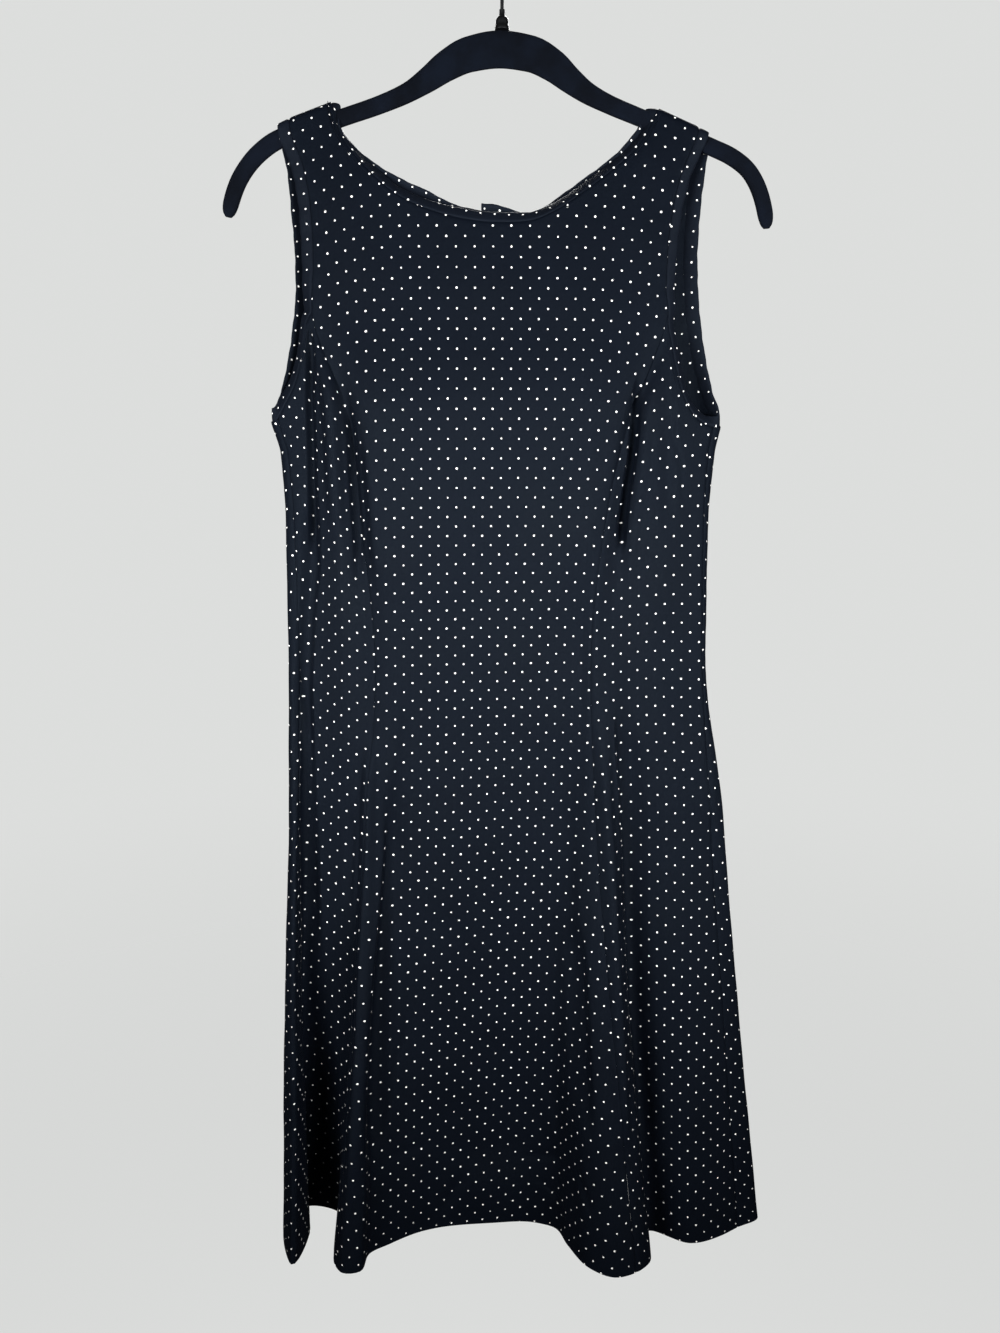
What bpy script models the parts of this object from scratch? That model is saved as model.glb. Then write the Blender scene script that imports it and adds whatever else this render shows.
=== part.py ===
"""Sleeveless A-line dress hung on a slim flocked hanger, as closed solids.

Frame: metres, +Z up, the wearer's front faces -Y. The origin is the inner top of the
hanger's hook, where a rail carries it. Tables are in millimetres: "drop" is measured
down from the origin and "depth" is Y, so the front of the cloth has a negative depth.

The cloth is drawn as one tube. FOLD_LINES are the lines a fold, crest, valley or seam
follows from shoulder to hem, in order round the body. A section through them at any
drop gives the cloth, and every panel is a stretch of that tube between two seams.
"""

from __future__ import annotations

import math
from dataclasses import dataclass
from typing import Sequence

import bpy
import numpy as np

MM = 0.001

# ---------------------------------------------------------------- cloth sizes, mm
WALL = 1.3                # one layer of knit and its turnings
SHOULDER_WALL = 2.4       # the same where the shoulder seam's turnings lie
SHOULDER_REACH = 9.0      # how far those turnings run from the seam
SEAM_GAP = 0.3            # between two pieces that are sewn together
CROWN_RADIUS = 5.0        # the cloth's bend over the hanger's arm
BAND_WIDTH = 9.0          # the folded bands at the armholes
NECK_BAND_WIDTH = 10.0
BAND_RISE = 0.6           # a band stands this far out of the panel
BAND_SINK = 1.5           # and reaches this far in
BAND_GAP = 0.3            # from the seam line to its sewn edge
BAND_SMOOTHING = 3        # passes that even out its direction where the seam turns
HEM_DROP = 1106.0
JOIN_DROP = 400.0         # below this, rows are level; above it they fan to the top edge

# ---------------------------------------------------------------- mesh density
COLUMN_PITCH = 14.0
MIN_COLUMNS = 2
MAX_COLUMNS = 6
LEVEL_ROWS = 13
FAN_ROWS = 6
YOKE_ROWS = 3
EDGE_ROWS = (14.0, 7.85, 5.2, 2.6, 0.0)     # mm short of the top edge
BEND_STEPS = (2.6, 5.2, 7.85)               # the same steps along a neck or arm edge

# ---------------------------------------------------------------- fold lines
# The drop of each level.
LEVELS = {
    "shoulder": 125, "chest": 285, "underarm": 360, "below_arm": 392,
    "ribs": 450, "waist": 560, "hip": 700, "thigh": 880, "hem": 1106,
}

# Rows: name, then X and depth at each level.
FOLD_LINES = (
    ("centre_back",
     (-17, -17, -15, -14, -12, -8, -2, 6, 15),
     (5, 9, 11, 11, 11, 9, 10, 13, 17)),
    ("back_left_foot",
     (-70, -70, -68, -66, -62, -56, -52, -46, -36),
     (5, 10, 12, 12, 12, 9, 10, 13, 17)),
    ("back_left_crest",
     (-105, -105, -103, -101.5, -98, -90, -88, -86, -84),
     (5, 10, 13, 13, 13, 11, 17, 31, 52)),
    ("back_left_outer",
     (-140, -135, -135, -133.5, -128, -122, -124, -126, -130),
     (5, 9, 12, 12, 12, 9, 10, 13, 17)),
    ("back_left_side",
     (-182, -167, -184, -178.5, -178, -179, -185, -195, -204),
     (5, 7, 5, 4, 3, 3, 3, 3, 1)),
    ("left_edge",
     (-202, -178, -192, -184.2, -181.3, -183, -187, -193, -198),
     (-1, -2, -3, -3.4, -5, -8, -14, -28, -49)),
    ("left_tip",
     (-196, -174, -189, -181.4, -178, -179, -181, -185, -189),
     (-4, -5, -6, -6.6, -8, -11, -19, -36, -66)),
    ("left_side_seam",
     (-190, -169, -185, -177.6, -174, -173, -176, -181, -180),
     (-5, -8, -8, -9, -10, -12, -17, -22, -26)),
    ("left_valley_outer",
     (-184, -163, -162, -162.5, -164, -167, -173, -183, -189),
     (-5, -12, -12, -12, -12, -10, -9, -5, 5)),
    ("left_valley_inner",
     (-179, -158, -154, -154.5, -157, -160, -162, -159, -158),
     (-5, -13, -13, -13, -12, -10, -9, -7, -2)),
    ("left_flank",
     (-174, -155, -139, -137.5, -136, -136, -134, -136, -154),
     (-5, -15, -22, -22, -21, -17, -16, -24, -49)),
    ("princess_left",
     (-168, -152, -126, -122, -117, -108, -117, -131, -150),
     (-5, -16, -18, -17.5, -17, -17, -19, -37, -67)),
    ("left_crest_outer",
     (-155, -131, -111, -107, -103, -100, -112, -126, -142),
     (-5, -18, -27, -27, -26, -19, -20, -42, -76)),
    ("left_crest_inner",
     (-147, -116, -95, -92.5, -90, -88, -101, -115, -126),
     (-5, -19, -28, -28, -27, -20, -20, -41, -74)),
    ("left_foot",
     (-141, -104, -84, -82, -80, -78, -93, -111, -121),
     (-5, -20, -28, -28, -27, -20, -18, -30, -54)),
    ("left_apron",
     (-132, -87, -72, -70, -68, -66, -80, -98, -103),
     (-5, -20, -28, -28, -27, -20, -17.5, -24, -42)),
    ("centre_left",
     (-49, -43, -42, -42, -43, -44, -46, -49, -49),
     (-5, -20, -28, -28, -27, -20, -17, -17, -17)),
    ("centre_right",
     (45, 40, 36, 35, 33, 30, 30, 32, 36),
     (-5, -20, -28, -28, -27, -20, -17, -16, -14)),
    ("right_foot",
     (108, 77, 63, 60, 56, 50, 48, 48, 51),
     (-5, -20, -28, -28, -27, -20, -17.5, -19, -22)),
    ("right_flank",
     (114, 90, 76, 72, 66, 60, 60, 60, 61),
     (-5, -20, -28, -28, -27, -20, -20, -30, -44)),
    ("right_crest_inner",
     (121, 103, 88, 82.5, 75, 67, 68, 73, 79),
     (-5, -19, -27, -27, -27, -20, -24, -45, -71)),
    ("right_crest_outer",
     (130, 114, 98, 91.5, 81, 71, 75, 86, 99),
     (-5, -18, -25, -25.5, -26, -21, -27, -51, -81)),
    ("princess_right",
     (156, 132.5, 106, 97, 85, 75, 81, 96, 120),
     (-5, -16, -19, -21.5, -25, -22, -28, -51, -75)),
    ("right_turn",
     (162, 137, 111, 106.5, 101, 92, 100, 109, 133),
     (-5, -15, -18, -17.5, -17, -20, -26, -47, -64)),
    ("right_valley",
     (167, 142, 120, 116, 111, 105, 108, 116, 137),
     (-5, -14, -21, -21, -20, -18, -19, -23, -27)),
    ("right_panel_inner",
     (172, 148, 142, 139, 135, 135, 143, 156, 174),
     (-5, -13, -21, -21, -21, -17, -19, -29, -41)),
    ("right_panel_outer",
     (178, 158, 161, 159.5, 156, 158, 169, 182, 203),
     (-5, -10, -14, -14.5, -15, -13, -15, -24, -33)),
    ("right_side_seam",
     (184, 168, 176, 171.5, 170, 173, 184, 201, 223),
     (-4, -6, -7, -7.8, -9, -8, -9, -16, -22)),
    ("right_edge",
     (194, 177, 182.6, 177.4, 174.6, 176.2, 196, 216, 245),
     (-1, -1, -2, -2, -2, -2, -3, -6, -9)),
    ("back_right_side",
     (178, 165, 172, 167, 165, 165, 182, 203, 228),
     (5, 7, 6, 5.5, 5, 5, 6, 8, 13)),
    ("back_right_outer",
     (135, 135, 135, 132.5, 125, 118, 128, 145, 168),
     (5, 9, 12, 12, 12, 9, 10, 13, 17)),
    ("back_right_crest",
     (100, 100, 98, 95.5, 90, 85, 92, 104, 118),
     (5, 10, 13, 13, 13, 11, 17, 33, 56)),
    ("back_right_foot",
     (60, 60, 58, 56, 52, 48, 52, 60, 72),
     (5, 10, 12, 12, 12, 9, 10, 13, 17)),
)

# ---------------------------------------------------------------- cut edges
# Columns: X, drop. The shoulder ends of each curve come from SHOULDER_LINE.
SHOULDER_LINE = {"left": ((-176.0, 137.7), (-128.0, 124.2)),
                 "right": ((119.0, 126.5), (165.0, 144.5))}
SHOULDER_X = {"left": (-167.5, -137.5), "right": (128.0, 155.5)}

FRONT_NECK = ((-133.5, 141.0), (-124.0, 157.0), (-105.0, 177.0), (-85.0, 192.0),
              (-66.0, 200.5), (-48.0, 207.5), (-25.0, 214.5), (0.0, 217.5),
              (22.0, 215.0), (40.0, 207.5), (64.0, 194.0), (84.0, 180.0),
              (100.0, 167.0), (113.0, 152.0), (120.5, 139.5))
BACK_NECK_LEFT = ((-133.0, 138.5), (-125.0, 152.0), (-107.5, 169.0), (-86.0, 181.8),
                  (-62.0, 194.0), (-40.0, 204.5), (-17.0, 208.5))
BACK_NECK_RIGHT = ((-17.0, 205.0), (0.0, 206.2), (20.0, 209.0), (38.0, 205.0),
                   (57.0, 196.5), (74.0, 185.0), (92.0, 172.0), (107.0, 157.0),
                   (119.5, 139.5))
FRONT_ARM_LEFT = ((-166.5, 143.0), (-161.0, 157.0), (-155.0, 177.0), (-151.2, 201.5),
                  (-149.8, 228.0), (-150.2, 250.0), (-151.6, 270.0), (-154.6, 290.6),
                  (-157.0, 308.1), (-160.5, 322.0), (-165.0, 334.0), (-171.5, 346.0),
                  (-179.0, 356.5), (-185.0, 364.7))
FRONT_ARM_RIGHT = ((153.5, 147.4), (145.8, 163.4), (141.0, 177.0), (137.0, 193.0),
                   (133.6, 214.0), (131.6, 236.0), (130.9, 262.0), (132.3, 285.0),
                   (136.5, 308.0), (140.5, 326.0), (145.5, 343.0), (151.0, 354.0),
                   (159.0, 363.5), (168.0, 369.0), (177.0, 370.8))
BACK_ARM_LEFT = ((-166.5, 143.0), (-163.5, 158.0), (-161.0, 175.0), (-159.0, 204.0),
                 (-157.3, 235.0), (-158.0, 260.0), (-161.6, 285.0), (-166.4, 310.0),
                 (-170.6, 328.0), (-175.3, 342.0), (-180.5, 353.0), (-187.0, 362.5))
BACK_ARM_RIGHT = ((156.0, 150.0), (154.5, 163.0), (152.8, 180.0), (151.0, 200.0),
                  (150.0, 228.0), (151.5, 258.0), (155.0, 286.0), (158.8, 306.0),
                  (163.5, 326.0), (168.8, 343.0), (173.5, 355.0), (179.5, 364.5))

APEX_LEFT = (-152.8, 282.0)        # where each princess seam meets the armhole
APEX_RIGHT = (132.0, 282.0)

# Drops of the rows between the princess seams' tops, or the underarm, and the yoke.
YOKE_DROPS = (264.0, 248.0, 232.0)
BACK_ARM_DROPS = (350.0, 336.0, 315.0, 290.0, 262.0, 232.0)
BACK_MIDDLE_DROPS = (400.0, 392.0, 384.0, 377.0, 371.0, 365.0, 360.0, 354.0, 345.0,
                     332.0, 314.0, 290.0, 262.0, 232.0)

# ---------------------------------------------------------------- hanger, mm
# Rows from the viewer's left tip to the right tip: X, drop, height of the bar.
HANGER_BAR = (
    (-219.3, 206.5, 5.0), (-218.6, 203.0, 10.0), (-216.6, 196.0, 12.6),
    (-211.0, 182.0, 13.2), (-203.6, 170.5, 13.4), (-193.0, 159.4, 13.8),
    (-177.5, 149.2, 14.0), (-150.0, 140.6, 13.0), (-122.5, 132.0, 12.8),
    (-96.0, 123.6, 13.2), (-74.0, 114.8, 14.6), (-58.0, 105.4, 18.4),
    (-43.0, 95.4, 22.6), (-26.0, 87.6, 25.6), (-2.0, 84.0, 27.0),
    (22.5, 87.2, 26.2), (40.0, 95.6, 23.6), (53.0, 105.6, 19.6),
    (67.0, 115.2, 15.8), (84.0, 123.4, 13.6), (104.0, 131.2, 13.0),
    (140.0, 144.4, 12.6), (166.0, 154.6, 12.6), (182.0, 161.6, 12.8),
    (196.0, 172.0, 12.6), (205.4, 187.0, 12.6), (210.6, 203.0, 12.4),
    (212.2, 211.5, 9.6), (212.5, 215.0, 5.0),
)
HANGER_THICK = 6.0
HANGER_RING = 10          # points round the bar
HOOK_INNER_RADIUS = 16.1
WIRE_RADIUS = 1.4
WIRE_RING = 10
HOOK_BEND = 60.0          # degrees the wire leans out before it turns over the rail
HOOK_END = 196.0          # degrees on the circle where the wire is cut
STEM_X = 0.0
STEM_FOOT = 65.5          # drop of the wire's lower end, inside the collar
# Columns: radius, drop. The collar's outline from the bore's lip round to its floor.
COLLAR_PROFILE = ((1.75, 56.0), (2.1, 56.0), (2.3, 60.2), (3.9, 61.6), (4.9, 63.6),
                  (5.1, 67.6), (5.6, 68.4), (5.6, 70.75), (0.0, 70.75), (0.0, 66.0),
                  (1.75, 66.0))
COLLAR_RING = 20


# ================================================================ curve helpers
def row_slopes(places: np.ndarray, values: np.ndarray) -> np.ndarray:
    """Slopes that keep a curve through the values free of overshoot.

    Args:
        places: increasing positions, shape (n,).
        values: values there, shape (..., n).

    Returns:
        One slope per value.
    """
    step = np.diff(places)
    rise = np.diff(values, axis=-1) / step
    slopes = np.zeros_like(values, dtype=float)
    before, after = rise[..., :-1], rise[..., 1:]
    weight_a = 2.0 * step[1:] + step[:-1]
    weight_b = step[1:] + 2.0 * step[:-1]
    same = before * after > 0.0
    safe_before = np.where(same, before, 1.0)
    safe_after = np.where(same, after, 1.0)
    mean = (weight_a + weight_b) / (weight_a / safe_before + weight_b / safe_after)
    slopes[..., 1:-1] = np.where(same, mean, 0.0)
    slopes[..., 0] = rise[..., 0]
    slopes[..., -1] = rise[..., -1]
    return slopes


def resample(points: Sequence[tuple[float, float]], count: int,
             close: str = "") -> np.ndarray:
    """Spread points evenly along a smooth curve through the given ones.

    Args:
        points: the curve's (X, drop) rows.
        count: number of steps, so count + 1 points come back.
        close: "start", "end" or "both", the ends that cross the shoulder's bend and
            take the closer steps of BEND_STEPS first.
    """
    rows = np.array(points, float)
    chord = np.hypot(*np.diff(rows, axis=0).T)
    reach = np.concatenate([[0.0], np.cumsum(chord)])
    fine = np.linspace(0.0, reach[-1], 400)
    slopes = row_slopes(reach, rows.T)
    span = np.clip(np.searchsorted(reach, fine, side="right") - 1, 0, len(chord) - 1)
    width = chord[span]
    t = (fine - reach[span]) / width
    curve = blend(rows[span].T, rows[span + 1].T,
                  slopes[:, span] * width, slopes[:, span + 1] * width, t).T
    length = np.concatenate([[0.0], np.cumsum(np.hypot(*np.diff(curve, axis=0).T))])
    first = [0.0, *BEND_STEPS] if close in ("start", "both") else [0.0]
    final = [*BEND_STEPS[::-1], 0.0] if close in ("end", "both") else [0.0]
    inner = count - (len(first) - 1) - (len(final) - 1)
    middle = np.linspace(first[-1], length[-1] - final[0], inner + 1)
    even = np.concatenate([first[:-1], middle, length[-1] - np.array(final[1:])])
    return np.column_stack([np.interp(even, length, curve[:, k]) for k in (0, 1)])


def blend(start, end, leave, arrive, t):
    """Cubic from start to end with the given end slopes, at t from 0 to 1."""
    t2 = t * t
    t3 = t2 * t
    return ((2 * t3 - 3 * t2 + 1) * start + (t3 - 2 * t2 + t) * leave
            + (3 * t2 - 2 * t3) * end + (t3 - t2) * arrive)


def unit(vectors: np.ndarray) -> np.ndarray:
    """Each vector divided by its length."""
    size = np.linalg.norm(vectors, axis=-1, keepdims=True)
    return vectors / np.maximum(size, 1e-12)


# ================================================================ the draped cloth
class Drape:
    """The outer face of the cloth, addressed by a place round it and a drop.

    The place q counts fold lines: q = 3.5 is half way from line 3 to line 4.
    """

    def __init__(self) -> None:
        self.names = [row[0] for row in FOLD_LINES]
        self.count = len(self.names)
        self.levels = np.array(list(LEVELS.values()), float)
        self.table = np.array([[row[1], row[2]] for row in FOLD_LINES], float)
        self.slopes = row_slopes(self.levels, self.table)
        self.front = (self.place("left_tip"), self.place("right_edge"))

    def place(self, name: str) -> int:
        """Number of the named fold line."""
        return self.names.index(name)

    def lines_at(self, drop: np.ndarray) -> np.ndarray:
        """X and depth of every fold line at each drop, shape (n, lines, 2)."""
        drop = np.clip(drop, self.levels[0], self.levels[-1])
        last = len(self.levels) - 2
        span = np.clip(np.searchsorted(self.levels, drop, side="right") - 1, 0, last)
        width = (self.levels[span + 1] - self.levels[span])
        t = (drop - self.levels[span]) / width
        value = blend(self.table[:, :, span], self.table[:, :, span + 1],
                      self.slopes[:, :, span] * width, self.slopes[:, :, span + 1] * width, t)
        return np.moveaxis(value, 2, 0)

    def section(self, q: np.ndarray, drop: np.ndarray) -> np.ndarray:
        """X and depth on the section at each drop, shape (n, 2)."""
        lines = self.lines_at(drop)
        index = np.floor(q).astype(int)
        t = (q - index)[:, None]
        pick = [lines[np.arange(len(q)), (index + k) % self.count] for k in (-1, 0, 1, 2)]
        chords = [np.maximum(np.linalg.norm(pick[k + 1] - pick[k], axis=1), 0.5)[:, None]
                  for k in range(3)]
        steps = [(pick[k + 1] - pick[k]) / chords[k] for k in range(3)]
        leave = (steps[0] * chords[1] + steps[1] * chords[0]) / (chords[0] + chords[1])
        arrive = (steps[1] * chords[2] + steps[2] * chords[1]) / (chords[1] + chords[2])
        return blend(pick[1], pick[2], leave * chords[1], arrive * chords[1], t)

    @staticmethod
    def shoulder_top(x: np.ndarray) -> np.ndarray:
        """Drop of the shoulder line's top above or below each X."""
        low = []
        for side in ("left", "right"):
            (x0, d0), (x1, d1) = SHOULDER_LINE[side]
            low.append(d0 + (x - x0) * (d1 - d0) / (x1 - x0))
        return np.where(x < 0.0, low[0], low[1])

    def crown(self, x: np.ndarray) -> np.ndarray:
        """Drop at which the cloth starts to bend over the hanger's arm."""
        return self.shoulder_top(x) + CROWN_RADIUS

    def seam_drop(self, x: np.ndarray) -> np.ndarray:
        """Unrolled drop of the shoulder seam, on top of the arm."""
        return self.crown(x) - CROWN_RADIUS * math.pi / 2.0

    def face(self, q: np.ndarray, drop: np.ndarray) -> np.ndarray:
        """Points of the outer face, in millimetres, shape (n, 3).

        A drop above the crown is unrolled: it is walked over the bend to the top.
        """
        q = np.atleast_1d(np.asarray(q, float))
        drop = np.atleast_1d(np.asarray(drop, float))
        flat = self.section(q, drop)
        for _ in range(3):
            crown = self.crown(flat[:, 0])
            flat = self.section(q, np.maximum(drop, crown))
        turn = np.clip((crown - drop) / CROWN_RADIUS, 0.0, math.pi)
        height = np.where(drop < crown, crown - CROWN_RADIUS * np.sin(turn), drop)
        depth = flat[:, 1] * np.cos(turn)
        return np.column_stack([flat[:, 0], depth, -height])

    def normal(self, q: np.ndarray, drop: np.ndarray) -> np.ndarray:
        """Unit vectors out of the cloth."""
        q = np.atleast_1d(np.asarray(q, float))
        drop = np.atleast_1d(np.asarray(drop, float))
        along = self.face(q + 0.02, drop) - self.face(q - 0.02, drop)
        down = self.face(q, drop + 0.3) - self.face(q, drop - 0.3)
        return unit(np.cross(down, along))

    def find(self, low: float, high: float, x: float, drop: float) -> float:
        """Place between low and high whose X is the given one at that drop."""
        q = np.linspace(low, high, 600)
        across = self.face(q, np.full(600, drop))[:, 0]
        if across[0] > across[-1]:
            return float(np.interp(x, across[::-1], q[::-1]))
        return float(np.interp(x, across, q))


# ================================================================ panels
@dataclass
class Panel:
    """One cut piece of cloth as a grid of points on the outer face.

    Attributes:
        name: the node's name.
        points: grid of points, rows from the hem up and columns across.
        normals: unit vectors out of the cloth at the same places.
        walls: thickness of the cloth there.
        arm_row: row at which the armhole starts, for a panel whose side follows it.
        top: role, first column and last column of each stretch of the top edge.
    """

    name: str
    points: np.ndarray
    normals: np.ndarray
    walls: np.ndarray
    arm_row: int
    top: list[tuple[str, int, int]]


def column_places(drape: Drape, first: int, last: int) -> np.ndarray:
    """Places of a panel's columns, closer where the fold lines are."""
    places = [float(first)]
    real = drape.levels >= LEVELS["underarm"]
    for line in range(first, last):
        here = drape.table[line % drape.count][:, real]
        there = drape.table[(line + 1) % drape.count][:, real]
        width = np.hypot(*(there - here)).max()
        count = int(np.clip(math.ceil(width / COLUMN_PITCH), MIN_COLUMNS, MAX_COLUMNS))
        places += [line + (k + 1) / count for k in range(count)]
    return np.array(places)


def grid_panel(drape: Drape, name: str, grid_q, grid_d, arm_row: int, top) -> Panel:
    """Lay a grid of places and drops on the cloth."""
    q = np.array(grid_q)
    d = np.array(grid_d)
    shape = q.shape
    points = drape.face(q.ravel(), d.ravel())
    normals = drape.normal(q.ravel(), d.ravel())
    past = d.ravel() - drape.seam_drop(points[:, 0])
    extra = np.clip(1.0 - past / SHOULDER_REACH, 0.0, 1.0)
    walls = WALL + (SHOULDER_WALL - WALL) * extra * extra * (3.0 - 2.0 * extra)
    return Panel(name, points.reshape(*shape, 3), normals.reshape(*shape, 3),
                 walls.reshape(shape), arm_row, top)


def level_drops() -> np.ndarray:
    """Drops of the level rows, from the hem to just below the join."""
    return HEM_DROP + (JOIN_DROP - HEM_DROP) * np.arange(LEVEL_ROWS) / LEVEL_ROWS


def fan_steps(length):
    """Distances above the join of the rows that fan out to a top edge."""
    steps = [k / FAN_ROWS * (length - EDGE_ROWS[0]) for k in range(FAN_ROWS)]
    return steps + [length - short for short in EDGE_ROWS]


def side_panel(drape: Drape, name: str, first: int, last: int, arm_rows) -> Panel:
    """A front side panel: a wedge whose whole top is cut to the armhole.

    Args:
        drape: the cloth.
        name: the node's name.
        first: fold line of the left seam.
        last: fold line of the right seam.
        arm_rows: (X, drop) rows of the armhole, left to right.
    """
    places = column_places(drape, first, last)
    total = len(places) - 1
    curve = resample(arm_rows, total)
    low, high = drape.front
    top_q = np.array([drape.find(low, high, x, drop) for x, drop in curve])
    top_q[0], top_q[-1] = first, last
    grid_q = [places for _ in range(LEVEL_ROWS)]
    grid_d = [np.full(total + 1, drop) for drop in level_drops()]
    length = JOIN_DROP - curve[:, 1]
    for step in fan_steps(length):
        grid_q.append(places + (top_q - places) * step / length)
        grid_d.append(JOIN_DROP - step)
    return grid_panel(drape, name, grid_q, grid_d, 0, [("arm", 0, total)])


@dataclass
class Side:
    """One side of a body panel, from the hem to the shoulder or the neck.

    Attributes:
        lower: (place, drop) at each row up to the underarm.
        upper: (X, drop) at each row from there to the yoke.
        rise: (X, drop) rows from the last of those to the top corner.
    """

    lower: np.ndarray
    upper: np.ndarray
    rise: np.ndarray

    def bow(self, share: np.ndarray) -> np.ndarray:
        """How far the rise stands off its chord in X, at shares of its drop."""
        start, end = self.rise[0], self.rise[-1]
        drop = start[1] + (end[1] - start[1]) * share
        across = np.interp(-drop, -self.rise[:, 1], self.rise[:, 0])
        return across - (start[0] + (end[0] - start[0]) * share)


def seam_side(drape: Drape, line: int, lower_drops, upper_drops, top_drop: float) -> Side:
    """A side of a body panel that stays on one fold line."""
    lower = [(line, drop) for drop in (*level_drops(), *lower_drops)]
    place = np.full(len(upper_drops), float(line))
    upper = np.column_stack([drape.face(place, np.array(upper_drops))[:, 0], upper_drops])
    rise_drops = np.linspace(upper_drops[-1], top_drop, 20)
    across = drape.face(np.full(20, float(line)), rise_drops)[:, 0]
    return Side(np.array(lower, float), upper, np.column_stack([across, rise_drops]))


def edge_x(rows, drops) -> np.ndarray:
    """X of a cut edge at the given drops."""
    curve = resample(rows, 240)
    order = np.argsort(curve[:, 1])
    return np.interp(drops, curve[order, 1], curve[order, 0])


def top_edge(parts, total: int) -> tuple[np.ndarray, list[tuple[str, int, int]]]:
    """Share a panel's columns between the neck and shoulder edges.

    Args:
        parts: (role, rows, ends to draw close) from left to right, rows as (X, drop).
        total: number of columns.

    Returns:
        The (X, drop) points of the top row, and each part's first and last column.
    """
    spare = [len(BEND_STEPS) * {"": 0, "both": 2}.get(close, 1) for _r, _p, close in parts]
    lengths = [np.hypot(*np.diff(np.array(rows, float), axis=0).T).sum()
               for _role, rows, _close in parts]
    free = total - sum(spare)
    counts = [max(2, round(free * part / sum(lengths))) for part in lengths]
    while sum(counts) != free:
        counts[counts.index(max(counts))] += 1 if sum(counts) < free else -1
    points = []
    spans = []
    start = 0
    for (role, rows, close), count, extra in zip(parts, counts, spare):
        curve = [tuple(spot) for spot in resample(rows, count + extra, close)]
        points += curve if not points else curve[1:]
        spans.append((role, start, start + count + extra))
        start += count + extra
    return np.array(points), spans


def body_panel(drape: Drape, name: str, ends: tuple[int, int, int], left: Side,
               right: Side, parts, layer, arm_row: int) -> Panel:
    """A panel that runs from the hem to the neck and shoulders.

    Args:
        drape: the cloth.
        name: the node's name.
        ends: fold lines of the left seam, of the middle that stays put where the cloth
            turns round to the front, and of the right seam.
        left: the left side, as seen from outside.
        right: the right side.
        parts: the top edge, as for top_edge.
        layer: first and last place of the layer that the top edge is cut from.
        arm_row: first row on the armhole.
    """
    first, middle, last = ends
    places = column_places(drape, first, last)
    total = len(places) - 1
    share = (places - first) / (last - first)
    grid_q = [np.interp(places, ends, [a, middle, b])
              for a, b in zip(left.lower[:, 0], right.lower[:, 0])]
    grid_d = [a + share * (b - a) for a, b in zip(left.lower[:, 1], right.lower[:, 1])]

    across = drape.face(grid_q[-1], grid_d[-1])[:, 0]
    low_share = (across - across[0]) / (across[-1] - across[0])
    top, spans = top_edge(parts, total)
    length = np.concatenate([[0.0], np.cumsum(np.hypot(*np.diff(top, axis=0).T))])
    high_share = 0.5 * length / length[-1] + 0.5 * np.arange(total + 1) / total
    rows_x, rows_d = [], []
    for k, (a, b) in enumerate(zip(left.upper, right.upper)):
        mix = (k + 1) / len(left.upper)
        part = low_share + (high_share - low_share) * mix
        rows_x.append(a[0] + part * (b[0] - a[0]))
        rows_d.append(a[1] + high_share * (b[1] - a[1]))
    base_x, base_d = rows_x.pop(), rows_d.pop()
    reach = base_d - top[:, 1]
    steps = [k / YOKE_ROWS * (reach - EDGE_ROWS[0]) for k in range(YOKE_ROWS)]
    for step in steps + [reach - short for short in EDGE_ROWS]:
        rise = step / reach
        bow = (1.0 - high_share) * left.bow(rise) + high_share * right.bow(rise)
        rows_x.append(base_x + (top[:, 0] - base_x) * rise + bow)
        rows_d.append(base_d - step)
    for row_x, row_d in zip(rows_x, rows_d):
        grid_q.append(np.array([drape.find(*layer, x, d) for x, d in zip(row_x, row_d)]))
        grid_d.append(row_d)
    return grid_panel(drape, name, grid_q, grid_d, arm_row, spans)


def rim_order(rows: int, columns: int) -> list[tuple[int, int]]:
    """Grid places of the rim, anticlockwise as seen from outside."""
    rim = [(0, c) for c in range(columns)]
    rim += [(r, columns - 1) for r in range(1, rows)]
    rim += [(rows - 1, c) for c in range(columns - 2, -1, -1)]
    rim += [(r, 0) for r in range(rows - 2, 0, -1)]
    return rim


def mitre(where: np.ndarray, out: np.ndarray, closed: bool) -> np.ndarray:
    """Vectors across a line on the cloth that keep an even distance from it.

    Args:
        where: the line's points.
        out: unit vectors out of the cloth there.
        closed: whether the line is a ring.

    Returns:
        Vectors to the line's left as seen from outside, one unit from both its
        neighbouring stretches.
    """
    ahead = unit(np.roll(where, -1, axis=0) - where)
    behind = np.roll(ahead, 1, axis=0)
    if not closed:
        ahead[-1] = ahead[-2]
        behind[0] = ahead[0]
        behind[-1] = ahead[-1]
    side_a = unit(np.cross(out, behind))
    side_b = unit(np.cross(out, ahead))
    spread = 1.0 + np.sum(side_a * side_b, axis=1, keepdims=True)
    return (side_a + side_b) / np.maximum(spread, 0.5)


def draw_in(points: np.ndarray, normals: np.ndarray, gap: float) -> np.ndarray:
    """Move a grid's rim inwards along the cloth, so sewn pieces stand apart."""
    rim = rim_order(*points.shape[:2])
    where = np.array([points[r, c] for r, c in rim])
    out = np.array([normals[r, c] for r, c in rim])
    moved = points.copy()
    for (r, c), place in zip(rim, where + gap * mitre(where, out, True)):
        moved[r, c] = place
    return moved


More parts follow.
